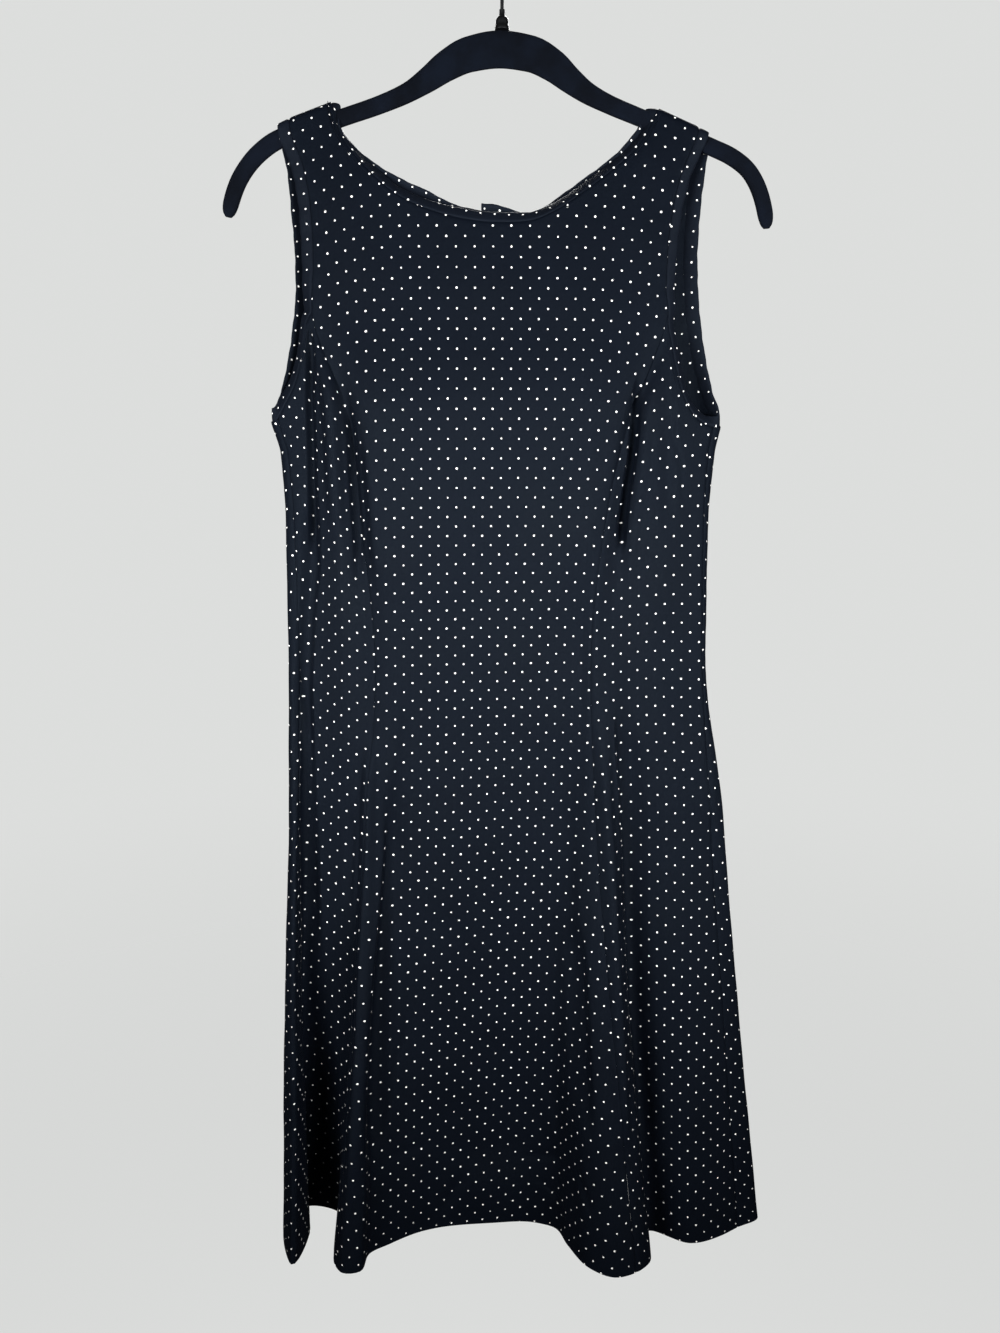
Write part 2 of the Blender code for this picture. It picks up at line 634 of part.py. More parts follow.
def panel_mesh(panel: Panel) -> tuple[np.ndarray, list[tuple[int, ...]]]:
    """Closed wall of a panel: outer face, inner face and rim."""
    outer = draw_in(panel.points, panel.normals, SEAM_GAP / 2.0)
    inner = outer - panel.normals * panel.walls[..., None]
    rows, columns = outer.shape[:2]
    vertices = np.concatenate([outer.reshape(-1, 3), inner.reshape(-1, 3)])
    behind = rows * columns
    faces = []
    for r in range(rows - 1):
        for c in range(columns - 1):
            a = r * columns + c
            quad = (a, a + 1, a + 1 + columns, a + columns)
            faces.append(quad)
            faces.append(tuple(behind + v for v in reversed(quad)))
    rim = [r * columns + c for r, c in rim_order(rows, columns)]
    for a, b in zip(rim, rim[1:] + rim[:1]):
        faces.append((b, a, behind + a, behind + b))
    return vertices, faces


# ================================================================ bands
@dataclass(frozen=True)
class Station:
    """A point of the line a band is sewn to."""

    point: np.ndarray
    normal: np.ndarray


def top_stations(panel: Panel, role: str) -> list[Station]:
    """Stations along a stretch of a panel's top edge, from left to right."""
    start, end = next(span[1:] for span in panel.top if span[0] == role)
    return [Station(panel.points[-1, c], panel.normals[-1, c]) for c in range(start, end + 1)]


def side_stations(panel: Panel, column: int) -> list[Station]:
    """Stations up the armhole side of a panel, from the underarm to the shoulder."""
    rows = range(panel.arm_row, panel.points.shape[0])
    return [Station(panel.points[r, column], panel.normals[r, column]) for r in rows]


def band_profile(width: float) -> tuple[tuple[float, float], ...]:
    """The band's section: distance from its sewn edge and height above the panel's face."""
    return ((0.0, BAND_RISE - 0.2), (width * 0.5, BAND_RISE),
            (width - 0.9, BAND_RISE - 0.2), (width, -0.1), (width, -0.8),
            (width - 0.9, -BAND_SINK), (width * 0.5, -BAND_SINK), (0.0, -BAND_SINK))


def band_mesh(stations: list[Station], width: float,
              ends: Sequence[np.ndarray] = ()) -> tuple[np.ndarray, list[tuple[int, ...]]]:
    """Sweep a band's section along the line it is sewn to.

    Args:
        stations: the seam line, with the band on its left as seen from outside.
        width: how far the band reaches from the seam.
        ends: the directions its first and last ends are cut in; a ring has none.
    """
    where = np.array([s.point for s in stations])
    out = np.array([s.normal for s in stations])
    closed = not len(ends)
    across = mitre(where, out, closed)
    if not closed:
        for end, inner, cut in ((0, 1, ends[0]), (-1, -2, ends[1])):
            across[end] = cut / np.dot(cut, across[end])
            where[end] += unit(where[inner] - where[end]) * SEAM_GAP / 2.0
    even = unit(across)
    for _ in range(BAND_SMOOTHING):
        turned = unit(np.roll(even, 1, axis=0) + 2.0 * even + np.roll(even, -1, axis=0))
        even = turned if closed else np.concatenate([even[:1], turned[1:-1], even[-1:]])
    profile = band_profile(width)
    ring = len(profile)
    foot = where + across * BAND_GAP
    vertices = np.concatenate([
        [foot[i] + even[i] * reach + out[i] * height for reach, height in profile]
        for i in range(len(stations))])
    faces = []
    spans = len(stations) if closed else len(stations) - 1
    for i in range(spans):
        here = i * ring
        there = (i + 1) % len(stations) * ring
        for k in range(ring):
            nxt = (k + 1) % ring
            faces.append((here + k, here + nxt, there + nxt, there + k))
    if not closed:
        faces.append(tuple(reversed(range(ring))))
        last = (len(stations) - 1) * ring
        faces.append(tuple(last + k for k in range(ring)))
    return vertices, faces


def join_stations(*runs: list[Station]) -> list[Station]:
    """Chain runs of stations, leaving out points that repeat."""
    chain: list[Station] = []
    for run in runs:
        for station in run:
            if chain and np.linalg.norm(chain[-1].point - station.point) < 0.5:
                continue
            chain.append(station)
    return chain


# ================================================================ hanger
def tube_mesh(centres: np.ndarray, rings: np.ndarray) -> tuple[np.ndarray, list]:
    """Closed tube through rings of points, capped with flat ends."""
    count, ring = rings.shape[:2]
    vertices = rings.reshape(-1, 3)
    faces = []
    for i in range(count - 1):
        for k in range(ring):
            nxt = (k + 1) % ring
            here, there = i * ring, (i + 1) * ring
            faces.append((here + k, here + nxt, there + nxt, there + k))
    faces.append(tuple(reversed(range(ring))))
    faces.append(tuple((count - 1) * ring + k for k in range(ring)))
    return vertices, faces


def hanger_bar() -> tuple[np.ndarray, list]:
    """The flocked bar: a rounded section swept from tip to tip."""
    rows = np.array(HANGER_BAR, float)
    centres = np.column_stack([rows[:, 0], np.zeros(len(rows)), -rows[:, 1]])
    along = unit(np.gradient(centres, axis=0))
    up = unit(np.cross(along, np.array([0.0, -1.0, 0.0])))
    up = np.where(up[:, 2:3] < 0.0, -up, up)
    flat_ends = np.array([0.55 if k in (0, len(rows) - 1) else 1.0 for k in range(len(rows))])
    rings = []
    for k, centre in enumerate(centres):
        ring = []
        half_z = rows[k, 2] / 2.0
        half_y = HANGER_THICK / 2.0 * flat_ends[k]
        for step in range(HANGER_RING):
            angle = 2.0 * math.pi * step / HANGER_RING
            c, s = math.cos(angle), math.sin(angle)
            y = half_y * math.copysign(abs(c) ** 0.7, c)
            z = half_z * math.copysign(abs(s) ** 0.8, s)
            ring.append(centre + np.array([0.0, 1.0, 0.0]) * y + up[k] * z)
        rings.append(ring)
    return tube_mesh(centres, np.array(rings))


def hook_path() -> np.ndarray:
    """Centre line of the hook's wire, from its foot in the collar to the cut end."""
    radius = HOOK_INNER_RADIUS + WIRE_RADIUS
    middle = np.array([STEM_X, 0.0, -HOOK_INNER_RADIUS])
    bend = math.radians(HOOK_BEND)
    start = middle[2] - 2.0 * radius * math.sin(bend)
    path = [np.array([STEM_X, 0.0, -STEM_FOOT]), np.array([STEM_X, 0.0, start - 3.0])]
    for k in range(7):
        lean = bend * k / 6.0
        path.append(np.array([STEM_X + radius * (1.0 - math.cos(lean)), 0.0,
                              start + radius * math.sin(lean)]))
    for degrees in np.arange(-HOOK_BEND + 10.0, HOOK_END + 0.1, 10.0):
        angle = math.radians(degrees)
        path.append(middle + radius * np.array([math.cos(angle), 0.0, math.sin(angle)]))
    shift = middle[0] + radius * math.cos(bend) - path[8][0]
    for point in path[9:]:
        point[0] -= shift
    return np.array(path)


def hanger_hook() -> tuple[np.ndarray, list]:
    """The wire hook that a rail carries."""
    path = hook_path()
    along = unit(np.gradient(path, axis=0))
    side = np.array([0.0, 1.0, 0.0])
    up = unit(np.cross(along, side))
    rings = []
    for k, centre in enumerate(path):
        angles = [2.0 * math.pi * step / WIRE_RING for step in range(WIRE_RING)]
        rings.append([centre + WIRE_RADIUS * (math.cos(a) * side + math.sin(a) * up[k])
                      for a in angles])
    return tube_mesh(path, np.array(rings))


def hanger_collar() -> tuple[np.ndarray, list]:
    """The turned collar between the bar and the wire, with a blind bore."""
    vertices = []
    index = []
    for radius, drop in COLLAR_PROFILE:
        if radius == 0.0:
            index.append([len(vertices)] * COLLAR_RING)
            vertices.append((STEM_X, 0.0, -drop))
            continue
        index.append([len(vertices) + k for k in range(COLLAR_RING)])
        for k in range(COLLAR_RING):
            angle = 2.0 * math.pi * k / COLLAR_RING
            vertices.append((STEM_X + radius * math.cos(angle), radius * math.sin(angle),
                             -drop))
    faces = []
    rows = len(index)
    for i in range(rows):
        here, there = index[i], index[(i + 1) % rows]
        if here[0] == here[1] and there[0] == there[1]:
            continue
        for k in range(COLLAR_RING):
            nxt = (k + 1) % COLLAR_RING
            corners = (here[k], here[nxt], there[nxt], there[k])
            face = tuple(dict.fromkeys(corners))
            faces.append(face)
    return np.array(vertices), faces


# ================================================================ scene
@dataclass(frozen=True)
class Finish:
    """Plain colour and roughness of a node."""

    name: str
    color: tuple[float, float, float]
    roughness: float
    metallic: float = 0.0


KNIT = Finish("dotted_knit", (0.013, 0.016, 0.028), 0.85)
BAND = Finish("band_knit", (0.015, 0.018, 0.030), 0.85)
FLOCK = Finish("black_flock", (0.004, 0.004, 0.006), 0.95)
STEEL = Finish("bright_steel", (0.55, 0.55, 0.56), 0.3, 1.0)


def make_material(name: str, finish: Finish) -> bpy.types.Material:
    """A Principled material for one node."""
    material = bpy.data.materials.new(name)
    material.use_nodes = True
    shader = material.node_tree.nodes["Principled BSDF"]
    shader.inputs["Base Color"].default_value = (*finish.color, 1.0)
    shader.inputs["Roughness"].default_value = finish.roughness
    shader.inputs["Metallic"].default_value = finish.metallic
    return material


def add_node(name: str, vertices: np.ndarray, faces: list, finish: Finish,
             smooth: bool = True) -> bpy.types.Object:
    """Add one closed solid, its faces turned outwards, to the scene."""
    order = np.asarray(vertices, float) * MM
    mesh = bpy.data.meshes.new(name)
    mesh.from_pydata([tuple(v) for v in order], [], [list(f) for f in faces])
    mesh.validate()
    mesh.update()
    volume = 0.0
    for polygon in mesh.polygons:
        corner = [order[v] for v in polygon.vertices]
        for a, b in zip(corner[1:-1], corner[2:]):
            volume += float(np.dot(corner[0], np.cross(a, b)))
    if volume < 0.0:
        mesh.flip_normals()
    for polygon in mesh.polygons:
        polygon.use_smooth = smooth
    mesh.materials.append(make_material(name + "_mat", finish))
    node = bpy.data.objects.new(name, mesh)
    bpy.context.scene.collection.objects.link(node)
    return node


def shoulder_rows(drape: Drape, side: str, inner_first: bool) -> list[tuple[float, float]]:
    """The shoulder seam of one side, as (X, unrolled drop) rows."""
    spots = sorted(np.linspace(*SHOULDER_X[side], 4), key=abs)
    if not inner_first:
        spots = spots[::-1]
    return [(float(x), float(drape.seam_drop(np.array([x]))[0])) for x in spots]


def build_panels(drape: Drape) -> dict[str, Panel]:
    """The five panels of the dress."""
    end = drape.count
    place = drape.place
    front = drape.front
    back_left = (0, place("left_edge"))
    back_right = (place("right_edge"), end)
    seam_left, seam_right = place("left_side_seam"), place("right_side_seam")
    princess_left, princess_right = place("princess_left"), place("princess_right")
    seam = {side: shoulder_rows(drape, side, True) for side in ("left", "right")}

    arm_left = [seam["left"][-1], *FRONT_ARM_LEFT]
    arm_right = [seam["right"][-1], *FRONT_ARM_RIGHT]
    neck_front = [seam["left"][0], *FRONT_NECK, seam["right"][0]]
    fan_left = JOIN_DROP - np.array(fan_steps(JOIN_DROP - APEX_LEFT[1])[:FAN_ROWS])
    princess_drops = [*fan_left, APEX_LEFT[1]]

    def front_side(rows, line: int, top_drop: float) -> Side:
        """A side of the front: the princess seam, then the armhole."""
        seam_part = seam_side(drape, line, [JOIN_DROP], princess_drops[1:], 0.0)
        arm = np.column_stack([edge_x(rows, YOKE_DROPS), YOKE_DROPS])
        rise_drops = np.linspace(YOKE_DROPS[-1], top_drop, 30)
        rise = np.column_stack([edge_x(rows, rise_drops), rise_drops])
        return Side(seam_part.lower, np.concatenate([seam_part.upper, arm]), rise)

    panels = {}
    panels["front_centre"] = body_panel(
        drape, "front_centre", (princess_left, place("centre_left"), princess_right),
        front_side(arm_left, princess_left, seam["left"][-1][1]),
        front_side(arm_right, princess_right, seam["right"][-1][1]),
        [("shoulder_left", seam["left"][::-1], ""), ("neck", neck_front, "both"),
         ("shoulder_right", seam["right"], "")],
        front, LEVEL_ROWS + len(princess_drops) - 1)
    panels["front_side_left"] = side_panel(
        drape, "front_side_left", seam_left, princess_left,
        [row for row in FRONT_ARM_LEFT[::-1] if row[1] > APEX_LEFT[1] + 3.0] + [APEX_LEFT])
    panels["front_side_right"] = side_panel(
        drape, "front_side_right", princess_right, seam_right,
        [APEX_RIGHT] + [row for row in FRONT_ARM_RIGHT if row[1] > APEX_RIGHT[1] + 3.5])

    def back_side(rows, wrap) -> Side:
        """The armhole side of a back half, with its turn round to the front."""
        lower = [(wrap[0][0], drop) for drop in level_drops()] + wrap
        drops = np.array([rows[-1][1], *BACK_ARM_DROPS])
        upper = np.column_stack([edge_x(rows, drops), drops])
        rise_drops = np.linspace(drops[-1], rows[0][1], 30)
        rise = np.column_stack([edge_x(rows, rise_drops), rise_drops])
        return Side(np.array(lower, float), upper, rise)

    def back_middle(line: int, neck_drop: float) -> Side:
        """The centre-back side of a back half."""
        return seam_side(drape, line, BACK_MIDDLE_DROPS[:7], BACK_MIDDLE_DROPS[7:], neck_drop)

    wrap_left = [(seam_left, JOIN_DROP), (seam_left, 389.4), (seam_left, 378.7),
                 (seam_left, FRONT_ARM_LEFT[-1][1]), (place("left_edge") + 1, 366.0),
                 (place("left_edge"), 366.0), (place("left_edge") - 0.5, 364.8)]
    wrap_right = [(seam_right, JOIN_DROP), (seam_right, 392.4), (seam_right, 384.8),
                  (seam_right, FRONT_ARM_RIGHT[-1][1]),
                  ((seam_right + place("right_edge")) / 2.0, 370.6),
                  (place("right_edge"), 369.8), (place("right_edge") + 0.25, 368.2)]
    panels["back_left"] = body_panel(
        drape, "back_left", (0, place("back_left_outer"), seam_left),
        back_middle(0, BACK_NECK_LEFT[-1][1]),
        back_side([seam["left"][-1], *BACK_ARM_LEFT], wrap_left),
        [("neck", [*BACK_NECK_LEFT[::-1], seam["left"][0]], "end"),
         ("shoulder_left", seam["left"], "")],
        back_left, LEVEL_ROWS + 3)
    panels["back_right"] = body_panel(
        drape, "back_right", (seam_right, place("back_right_outer"), end),
        back_side([seam["right"][-1], *BACK_ARM_RIGHT], wrap_right),
        back_middle(end, BACK_NECK_RIGHT[0][1]),
        [("shoulder_right", seam["right"][::-1], ""),
         ("neck", [seam["right"][0], *BACK_NECK_RIGHT[::-1]], "start")],
        back_right, LEVEL_ROWS + 3)
    return panels


def build_bands(panels: dict[str, Panel]) -> dict[str, tuple[np.ndarray, list]]:
    """The neck band and the two armhole bands."""
    centre, back_left, back_right = (panels[k] for k in
                                     ("front_centre", "back_left", "back_right"))
    neck = join_stations(top_stations(back_left, "neck"), top_stations(centre, "neck"),
                         top_stations(back_right, "neck"))
    arm_left = join_stations(side_stations(back_left, -1)[::-1],
                             top_stations(panels["front_side_left"], "arm"),
                             side_stations(centre, 0))
    arm_right = join_stations(side_stations(centre, -1)[::-1],
                              top_stations(panels["front_side_right"], "arm"),
                              side_stations(back_right, 0))
    for ring in (arm_left, arm_right):
        if np.linalg.norm(ring[0].point - ring[-1].point) < 0.5:
            ring.pop()
    neck_ends = [unit(back_left.points[-1, 0] - back_left.points[-2, 0]),
                 unit(back_right.points[-1, -1] - back_right.points[-2, -1])]
    return {
        "neck_band": band_mesh(neck, NECK_BAND_WIDTH, neck_ends),
        "armhole_band_left": band_mesh(arm_left, BAND_WIDTH),
        "armhole_band_right": band_mesh(arm_right, BAND_WIDTH),
    }


def main() -> None:
    """Clear the scene and build every node."""
    for item in list(bpy.data.objects):
        bpy.data.objects.remove(item, do_unlink=True)
    drape = Drape()
    panels = build_panels(drape)
    for name, panel in panels.items():
        add_node(name, *panel_mesh(panel), KNIT)
    for name, (vertices, faces) in build_bands(panels).items():
        add_node(name, vertices, faces, BAND)
    add_node("hanger_bar", *hanger_bar(), FLOCK)
    add_node("hanger_collar", *hanger_collar(), STEEL)
    add_node("hanger_hook", *hanger_hook(), STEEL)


if __name__ == "__main__":
    main()
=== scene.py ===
"""Dressed model of a sleeveless A-line knit dress hung on a slim flocked hanger.

Frame: metres, +Z up, the wearer's front faces -Y, the origin at the inner top of the
hanger's hook. Tables and working points are in millimetres: "drop" is measured down from
the origin and "depth" is Y. Meshes are written in metres.

The cloth is one tube. FOLD_LINES are the lines that a fold, crest, valley or seam follows
from shoulder to hem, in order round the body. A place q counts them: q = 3.5 is half way
from line 3 to line 4. Every cut piece is a net of places and drops on that tube.
"""

from __future__ import annotations

import logging
import math
from dataclasses import dataclass, field
from enum import Enum
from typing import Sequence

import bmesh
import bpy
import numpy as np
from bpy.types import Material, Node, NodeSocket, NodeTree, Object
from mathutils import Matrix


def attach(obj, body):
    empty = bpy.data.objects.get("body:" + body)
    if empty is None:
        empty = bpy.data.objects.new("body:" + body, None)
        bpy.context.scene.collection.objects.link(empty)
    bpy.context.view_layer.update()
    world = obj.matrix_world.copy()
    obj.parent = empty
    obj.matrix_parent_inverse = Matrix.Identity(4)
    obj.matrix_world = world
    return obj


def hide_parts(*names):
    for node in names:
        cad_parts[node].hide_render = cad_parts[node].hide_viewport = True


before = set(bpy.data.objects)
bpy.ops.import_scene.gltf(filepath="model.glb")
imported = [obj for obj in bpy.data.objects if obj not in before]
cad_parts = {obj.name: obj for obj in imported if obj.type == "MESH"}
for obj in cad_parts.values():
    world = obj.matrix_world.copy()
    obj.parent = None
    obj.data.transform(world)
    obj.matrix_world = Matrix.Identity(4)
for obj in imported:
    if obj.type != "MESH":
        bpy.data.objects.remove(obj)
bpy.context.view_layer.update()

Array = np.ndarray
Rows = Sequence[tuple[float, float]]
Color = tuple[float, float, float]

LOG = logging.getLogger("dress")
MM = 0.001
BODY = "root"

# The drop of each level.
LEVELS = {
    "shoulder": 125, "chest": 285, "underarm": 360, "below_arm": 392,
    "ribs": 450, "waist": 560, "hip": 700, "thigh": 880, "hem": 1106,
}

# Rows: name, then X and depth at each level.
FOLD_LINES = (
    ("centre_back", (-17, -17, -15, -14, -12, -8, -2, 6, 15),
     (5, 9, 11, 11, 11, 9, 10, 13, 17)),
    ("back_left_foot", (-70, -70, -68, -66, -62, -56, -52, -46, -36),
     (5, 10, 12, 12, 12, 9, 10, 13, 17)),
    ("back_left_crest", (-105, -105, -103, -101.5, -98, -90, -88, -86, -84),
     (5, 10, 13, 13, 13, 11, 17, 31, 52)),
    ("back_left_outer", (-140, -135, -135, -133.5, -128, -122, -124, -126, -130),
     (5, 9, 12, 12, 12, 9, 10, 13, 17)),
    ("back_left_side", (-182, -167, -184, -178.5, -178, -179, -185, -195, -204),
     (5, 7, 5, 4, 3, 3, 3, 3, 1)),
    ("left_edge", (-202, -178, -192, -184.2, -181.3, -183, -187, -193, -198),
     (-1, -2, -3, -3.4, -5, -8, -14, -28, -49)),
    ("left_tip", (-196, -174, -189, -181.4, -178, -179, -181, -185, -189),
     (-4, -5, -6, -6.6, -8, -11, -19, -36, -66)),
    ("left_side_seam", (-190, -169, -185, -177.6, -174, -173, -176, -181, -180),
     (-5, -8, -8, -9, -10, -12, -17, -22, -26)),
    ("left_valley_outer", (-184, -163, -162, -162.5, -164, -167, -173, -183, -189),
     (-5, -12, -12, -12, -12, -10, -9, -5, 5)),
    ("left_valley_inner", (-179, -158, -154, -154.5, -157, -160, -162, -159, -158),
     (-5, -13, -13, -13, -12, -10, -9, -7, -2)),
    ("left_flank", (-174, -155, -139, -137.5, -136, -136, -134, -136, -154),
     (-5, -15, -22, -22, -21, -17, -16, -24, -49)),
    ("princess_left", (-168, -152, -126, -122, -117, -108, -117, -131, -150),
     (-5, -16, -18, -17.5, -17, -17, -19, -37, -67)),
    ("left_crest_outer", (-155, -131, -111, -107, -103, -100, -112, -126, -142),
     (-5, -18, -27, -27, -26, -19, -20, -42, -76)),
    ("left_crest_inner", (-147, -116, -95, -92.5, -90, -88, -101, -115, -126),
     (-5, -19, -28, -28, -27, -20, -20, -41, -74)),
    ("left_foot", (-141, -104, -84, -82, -80, -78, -93, -111, -121),
     (-5, -20, -28, -28, -27, -20, -18, -30, -54)),
    ("left_apron", (-132, -87, -72, -70, -68, -66, -80, -98, -103),
     (-5, -20, -28, -28, -27, -20, -17.5, -24, -42)),
    ("centre_left", (-49, -43, -42, -42, -43, -44, -46, -49, -49),
     (-5, -20, -28, -28, -27, -20, -17, -17, -17)),
    ("centre_right", (45, 40, 36, 35, 33, 30, 30, 32, 36),
     (-5, -20, -28, -28, -27, -20, -17, -16, -14)),
    ("right_foot", (108, 77, 63, 60, 56, 50, 48, 48, 51),
     (-5, -20, -28, -28, -27, -20, -17.5, -19, -22)),
    ("right_flank", (114, 90, 76, 72, 66, 60, 60, 60, 61),
     (-5, -20, -28, -28, -27, -20, -20, -30, -44)),
    ("right_crest_inner", (121, 103, 88, 82.5, 75, 67, 68, 73, 79),
     (-5, -19, -27, -27, -27, -20, -24, -45, -71)),
    ("right_crest_outer", (130, 114, 98, 91.5, 81, 71, 75, 86, 99),
     (-5, -18, -25, -25.5, -26, -21, -27, -51, -81)),
    ("princess_right", (156, 132.5, 106, 97, 85, 75, 81, 96, 120),
     (-5, -16, -19, -21.5, -25, -22, -28, -51, -75)),
    ("right_turn", (162, 137, 111, 106.5, 101, 92, 100, 109, 133),
     (-5, -15, -18, -17.5, -17, -20, -26, -47, -64)),
    ("right_valley", (167, 142, 120, 116, 111, 105, 108, 116, 137),
     (-5, -14, -21, -21, -20, -18, -19, -23, -27)),
    ("right_panel_inner", (172, 148, 142, 139, 135, 135, 143, 156, 174),
     (-5, -13, -21, -21, -21, -17, -19, -29, -41)),
    ("right_panel_outer", (178, 158, 161, 159.5, 156, 158, 169, 182, 203),
     (-5, -10, -14, -14.5, -15, -13, -15, -24, -33)),
    ("right_side_seam", (184, 168, 176, 171.5, 170, 173, 184, 201, 223),
     (-4, -6, -7, -7.8, -9, -8, -9, -16, -22)),
    ("right_edge", (194, 177, 182.6, 177.4, 174.6, 176.2, 196, 216, 245),
     (-1, -1, -2, -2, -2, -2, -3, -6, -9)),
    ("back_right_side", (178, 165, 172, 167, 165, 165, 182, 203, 228),
     (5, 7, 6, 5.5, 5, 5, 6, 8, 13)),
    ("back_right_outer", (135, 135, 135, 132.5, 125, 118, 128, 145, 168),
     (5, 9, 12, 12, 12, 9, 10, 13, 17)),
    ("back_right_crest", (100, 100, 98, 95.5, 90, 85, 92, 104, 118),
     (5, 10, 13, 13, 13, 11, 17, 33, 56)),
    ("back_right_foot", (60, 60, 58, 56, 52, 48, 52, 60, 72),
     (5, 10, 12, 12, 12, 9, 10, 13, 17)),
)
# Columns: X, drop. The shoulder ends of each curve come from SHOULDER_LINE.
SHOULDER_LINE = {"left": ((-176, 136.5), (-128, 119.4)),
                 "right": ((119, 124.9), (165, 144.2))}
SHOULDER_X = {"left": (-167.5, -134.5), "right": (124, 155.5)}

FRONT_NECK = ((-130.5, 140), (-123.5, 152.5), (-105, 174), (-85, 191), (-66, 200.5),
              (-48, 206.5), (-25, 211.5), (0, 213.5), (22, 212), (40, 205.5), (64, 190.5),
              (84, 176), (100, 163), (110.5, 151), (117.5, 139))
BACK_NECK_LEFT = ((-131, 140), (-125.5, 153), (-108.5, 170.5), (-87, 183.5), (-62, 194.5),
                  (-40, 205), (-17, 210.5))
BACK_NECK_RIGHT = ((-17, 205), (-5, 205.4), (7, 209.5), (23, 212.5), (38, 205.5), (57, 193),
                   (74, 181.5), (92, 168.5), (106, 154.5), (116.5, 139.5))
FRONT_ARM_LEFT = ((-166.5, 143), (-161, 157), (-155, 177), (-151.2, 201.5), (-149.8, 228),
                  (-149.9, 243), (-151.1, 259), (-153.4, 272), (-155.7, 282), (-157, 286.4),
                  (-160.2, 301.8), (-163, 316.1), (-165.8, 328.1), (-168.8, 336.8),
                  (-173.4, 345.8), (-179.2, 355.6), (-185, 364.7))
FRONT_ARM_RIGHT = ((153.5, 147.4), (145.8, 163.4), (141, 177), (137, 193), (133.6, 214),
                   (131.6, 236), (130.9, 262), (132.3, 285), (136.5, 308), (140.5, 326),
                   (145.5, 343), (151, 354), (159, 363.5), (168, 369), (177, 370.8))
BACK_ARM_LEFT = ((-166.5, 143), (-163.3, 158), (-160.8, 175), (-159.2, 204), (-157.8, 235),
                 (-158.5, 260), (-162, 285), (-166.8, 310), (-171.2, 328), (-176, 342),
                 (-181.2, 353), (-187, 362.5))
BACK_ARM_RIGHT = ((156, 150), (154.5, 163), (152.8, 180), (151, 200), (150, 228),
                  (151.5, 258), (155, 286), (158.8, 306), (163.5, 326), (168.8, 343),
                  (173.5, 355), (179.5, 364.5))

APEX_LEFT = (-155.7, 282.0)        # where each princess seam meets the armhole
APEX_RIGHT = (132.0, 282.0)
APEX_SPACE = 3.0                   # least drop from there to the next point of it

# Drops of the rows between the princess seams' tops, or the underarm, and the yoke.
YOKE_DROPS = (264, 248, 232)
BACK_ARM_DROPS = (350, 336, 315, 290, 262, 232)
BACK_MIDDLE_DROPS = (400, 392, 384, 377, 371, 365, 360, 354, 345, 332, 314, 290, 262, 232)
# Rows: fold line, places past it, drop. Each back half's turn to the front's side seam.
WRAP_LEFT = (("left_side_seam", 0, 400), ("left_side_seam", 0, 389.4),
             ("left_side_seam", 0, 378.7), ("left_side_seam", 0, 364.7),
             ("left_edge", 1, 366), ("left_edge", 0, 366), ("left_edge", -0.5, 364.8))
WRAP_RIGHT = (("right_side_seam", 0, 400), ("right_side_seam", 0, 392.4),
              ("right_side_seam", 0, 384.8), ("right_side_seam", 0, 370.8),
              ("right_side_seam", 0.5, 370.6), ("right_edge", 0, 369.8),
              ("right_edge", 0.25, 368.2))
# Rows from the viewer's left tip to the right tip: X, drop, height of the bar.
HANGER_BAR = ((-219.3, 206.5, 5), (-218.6, 203, 10), (-216.6, 196, 12.6), (-211, 182, 13.2),
              (-203.6, 170.5, 13.4), (-193, 159.4, 13.8), (-177.5, 149.2, 14),
              (-150, 140.6, 13), (-122.5, 132, 12.8), (-96, 123.6, 13.2),
              (-74, 114.8, 14.6), (-58, 105.4, 18.4), (-43, 95.4, 22.6), (-26, 87.6, 25.6),
              (-2, 84, 27), (22.5, 87.2, 26.2), (40, 95.6, 23.6), (53, 105.6, 19.6),
              (67, 115.2, 15.8), (84, 123.4, 13.6), (104, 131.2, 13), (140, 144.4, 12.6),
              (166, 154.6, 12.6), (182, 161.6, 12.8), (196, 172, 12.6), (205.4, 187, 12.6),
              (210.6, 203, 12.4), (212.2, 211.5, 9.6), (212.5, 215, 5))

# Columns: radius, drop. The collar's outline from the bore's lip round to its floor.
COLLAR_PROFILE = ((1.75, 66), (1.75, 56.3), (1.9, 56), (2.15, 56.05), (2.25, 57.5),
                  (2.3, 60), (2.7, 60.9), (3.7, 61.5), (4.4, 62.2), (4.9, 63.6),
                  (5.05, 65.6), (5.15, 67.5), (5.35, 68), (5.6, 68.4), (5.6, 70.5),
                  (5.4, 70.75))

# ==== cloth sizes, mm
CROWN_RADIUS = 5.0        # the cloth's bend over the hanger's arm
HEM_DROP = 1106.0
JOIN_DROP = 400.0         # below this, rows are level; above it they fan to the top edge
EDGE_ROWS = (14.0, 7.85, 5.2, 2.6, 0.0)     # mm short of the top edge
BEND_STEPS = (2.6, 5.2, 7.85)               # the same steps along a neck or arm edge
EDGE_STEPS = (0.55, 1.3, 2.4)               # finer points beside a sewn or cut edge
HEM_STEPS = (-1.2, -0.4, 0.4, 1.2, 2.6)     # the same about the turned hem's upper edge
GIRTH_STEPS = 24          # parts of a fold line's space in the table of girths
GIRTH_ROWS = 164          # rows of that table
FIND_PASSES = 26          # halvings that find a place by its X
CURVE_POINTS = 400        # points that a curve is measured with
EDGE_POINTS = 240         # the same of a cut edge
CREASE_POINTS = 24        # the same of a crease
JOIN_SPACE = 0.9          # least space of points where a band passes to the next piece
SEAM_ROWS = 20            # points of a seam between the yoke's base and its top
RISE_ROWS = 30            # points of a cut edge between the yoke's base and its top
GRAIN_MAP = "grain"

# Columns: degrees, pitch in mm, height in mm of the cloth's slow unevenness.
RIPPLES = ((4.0, 61.0, 0.22), (-13.0, 97.0, 0.25), (62.0, 143.0, 0.2), (81.0, 57.0, 0.1))

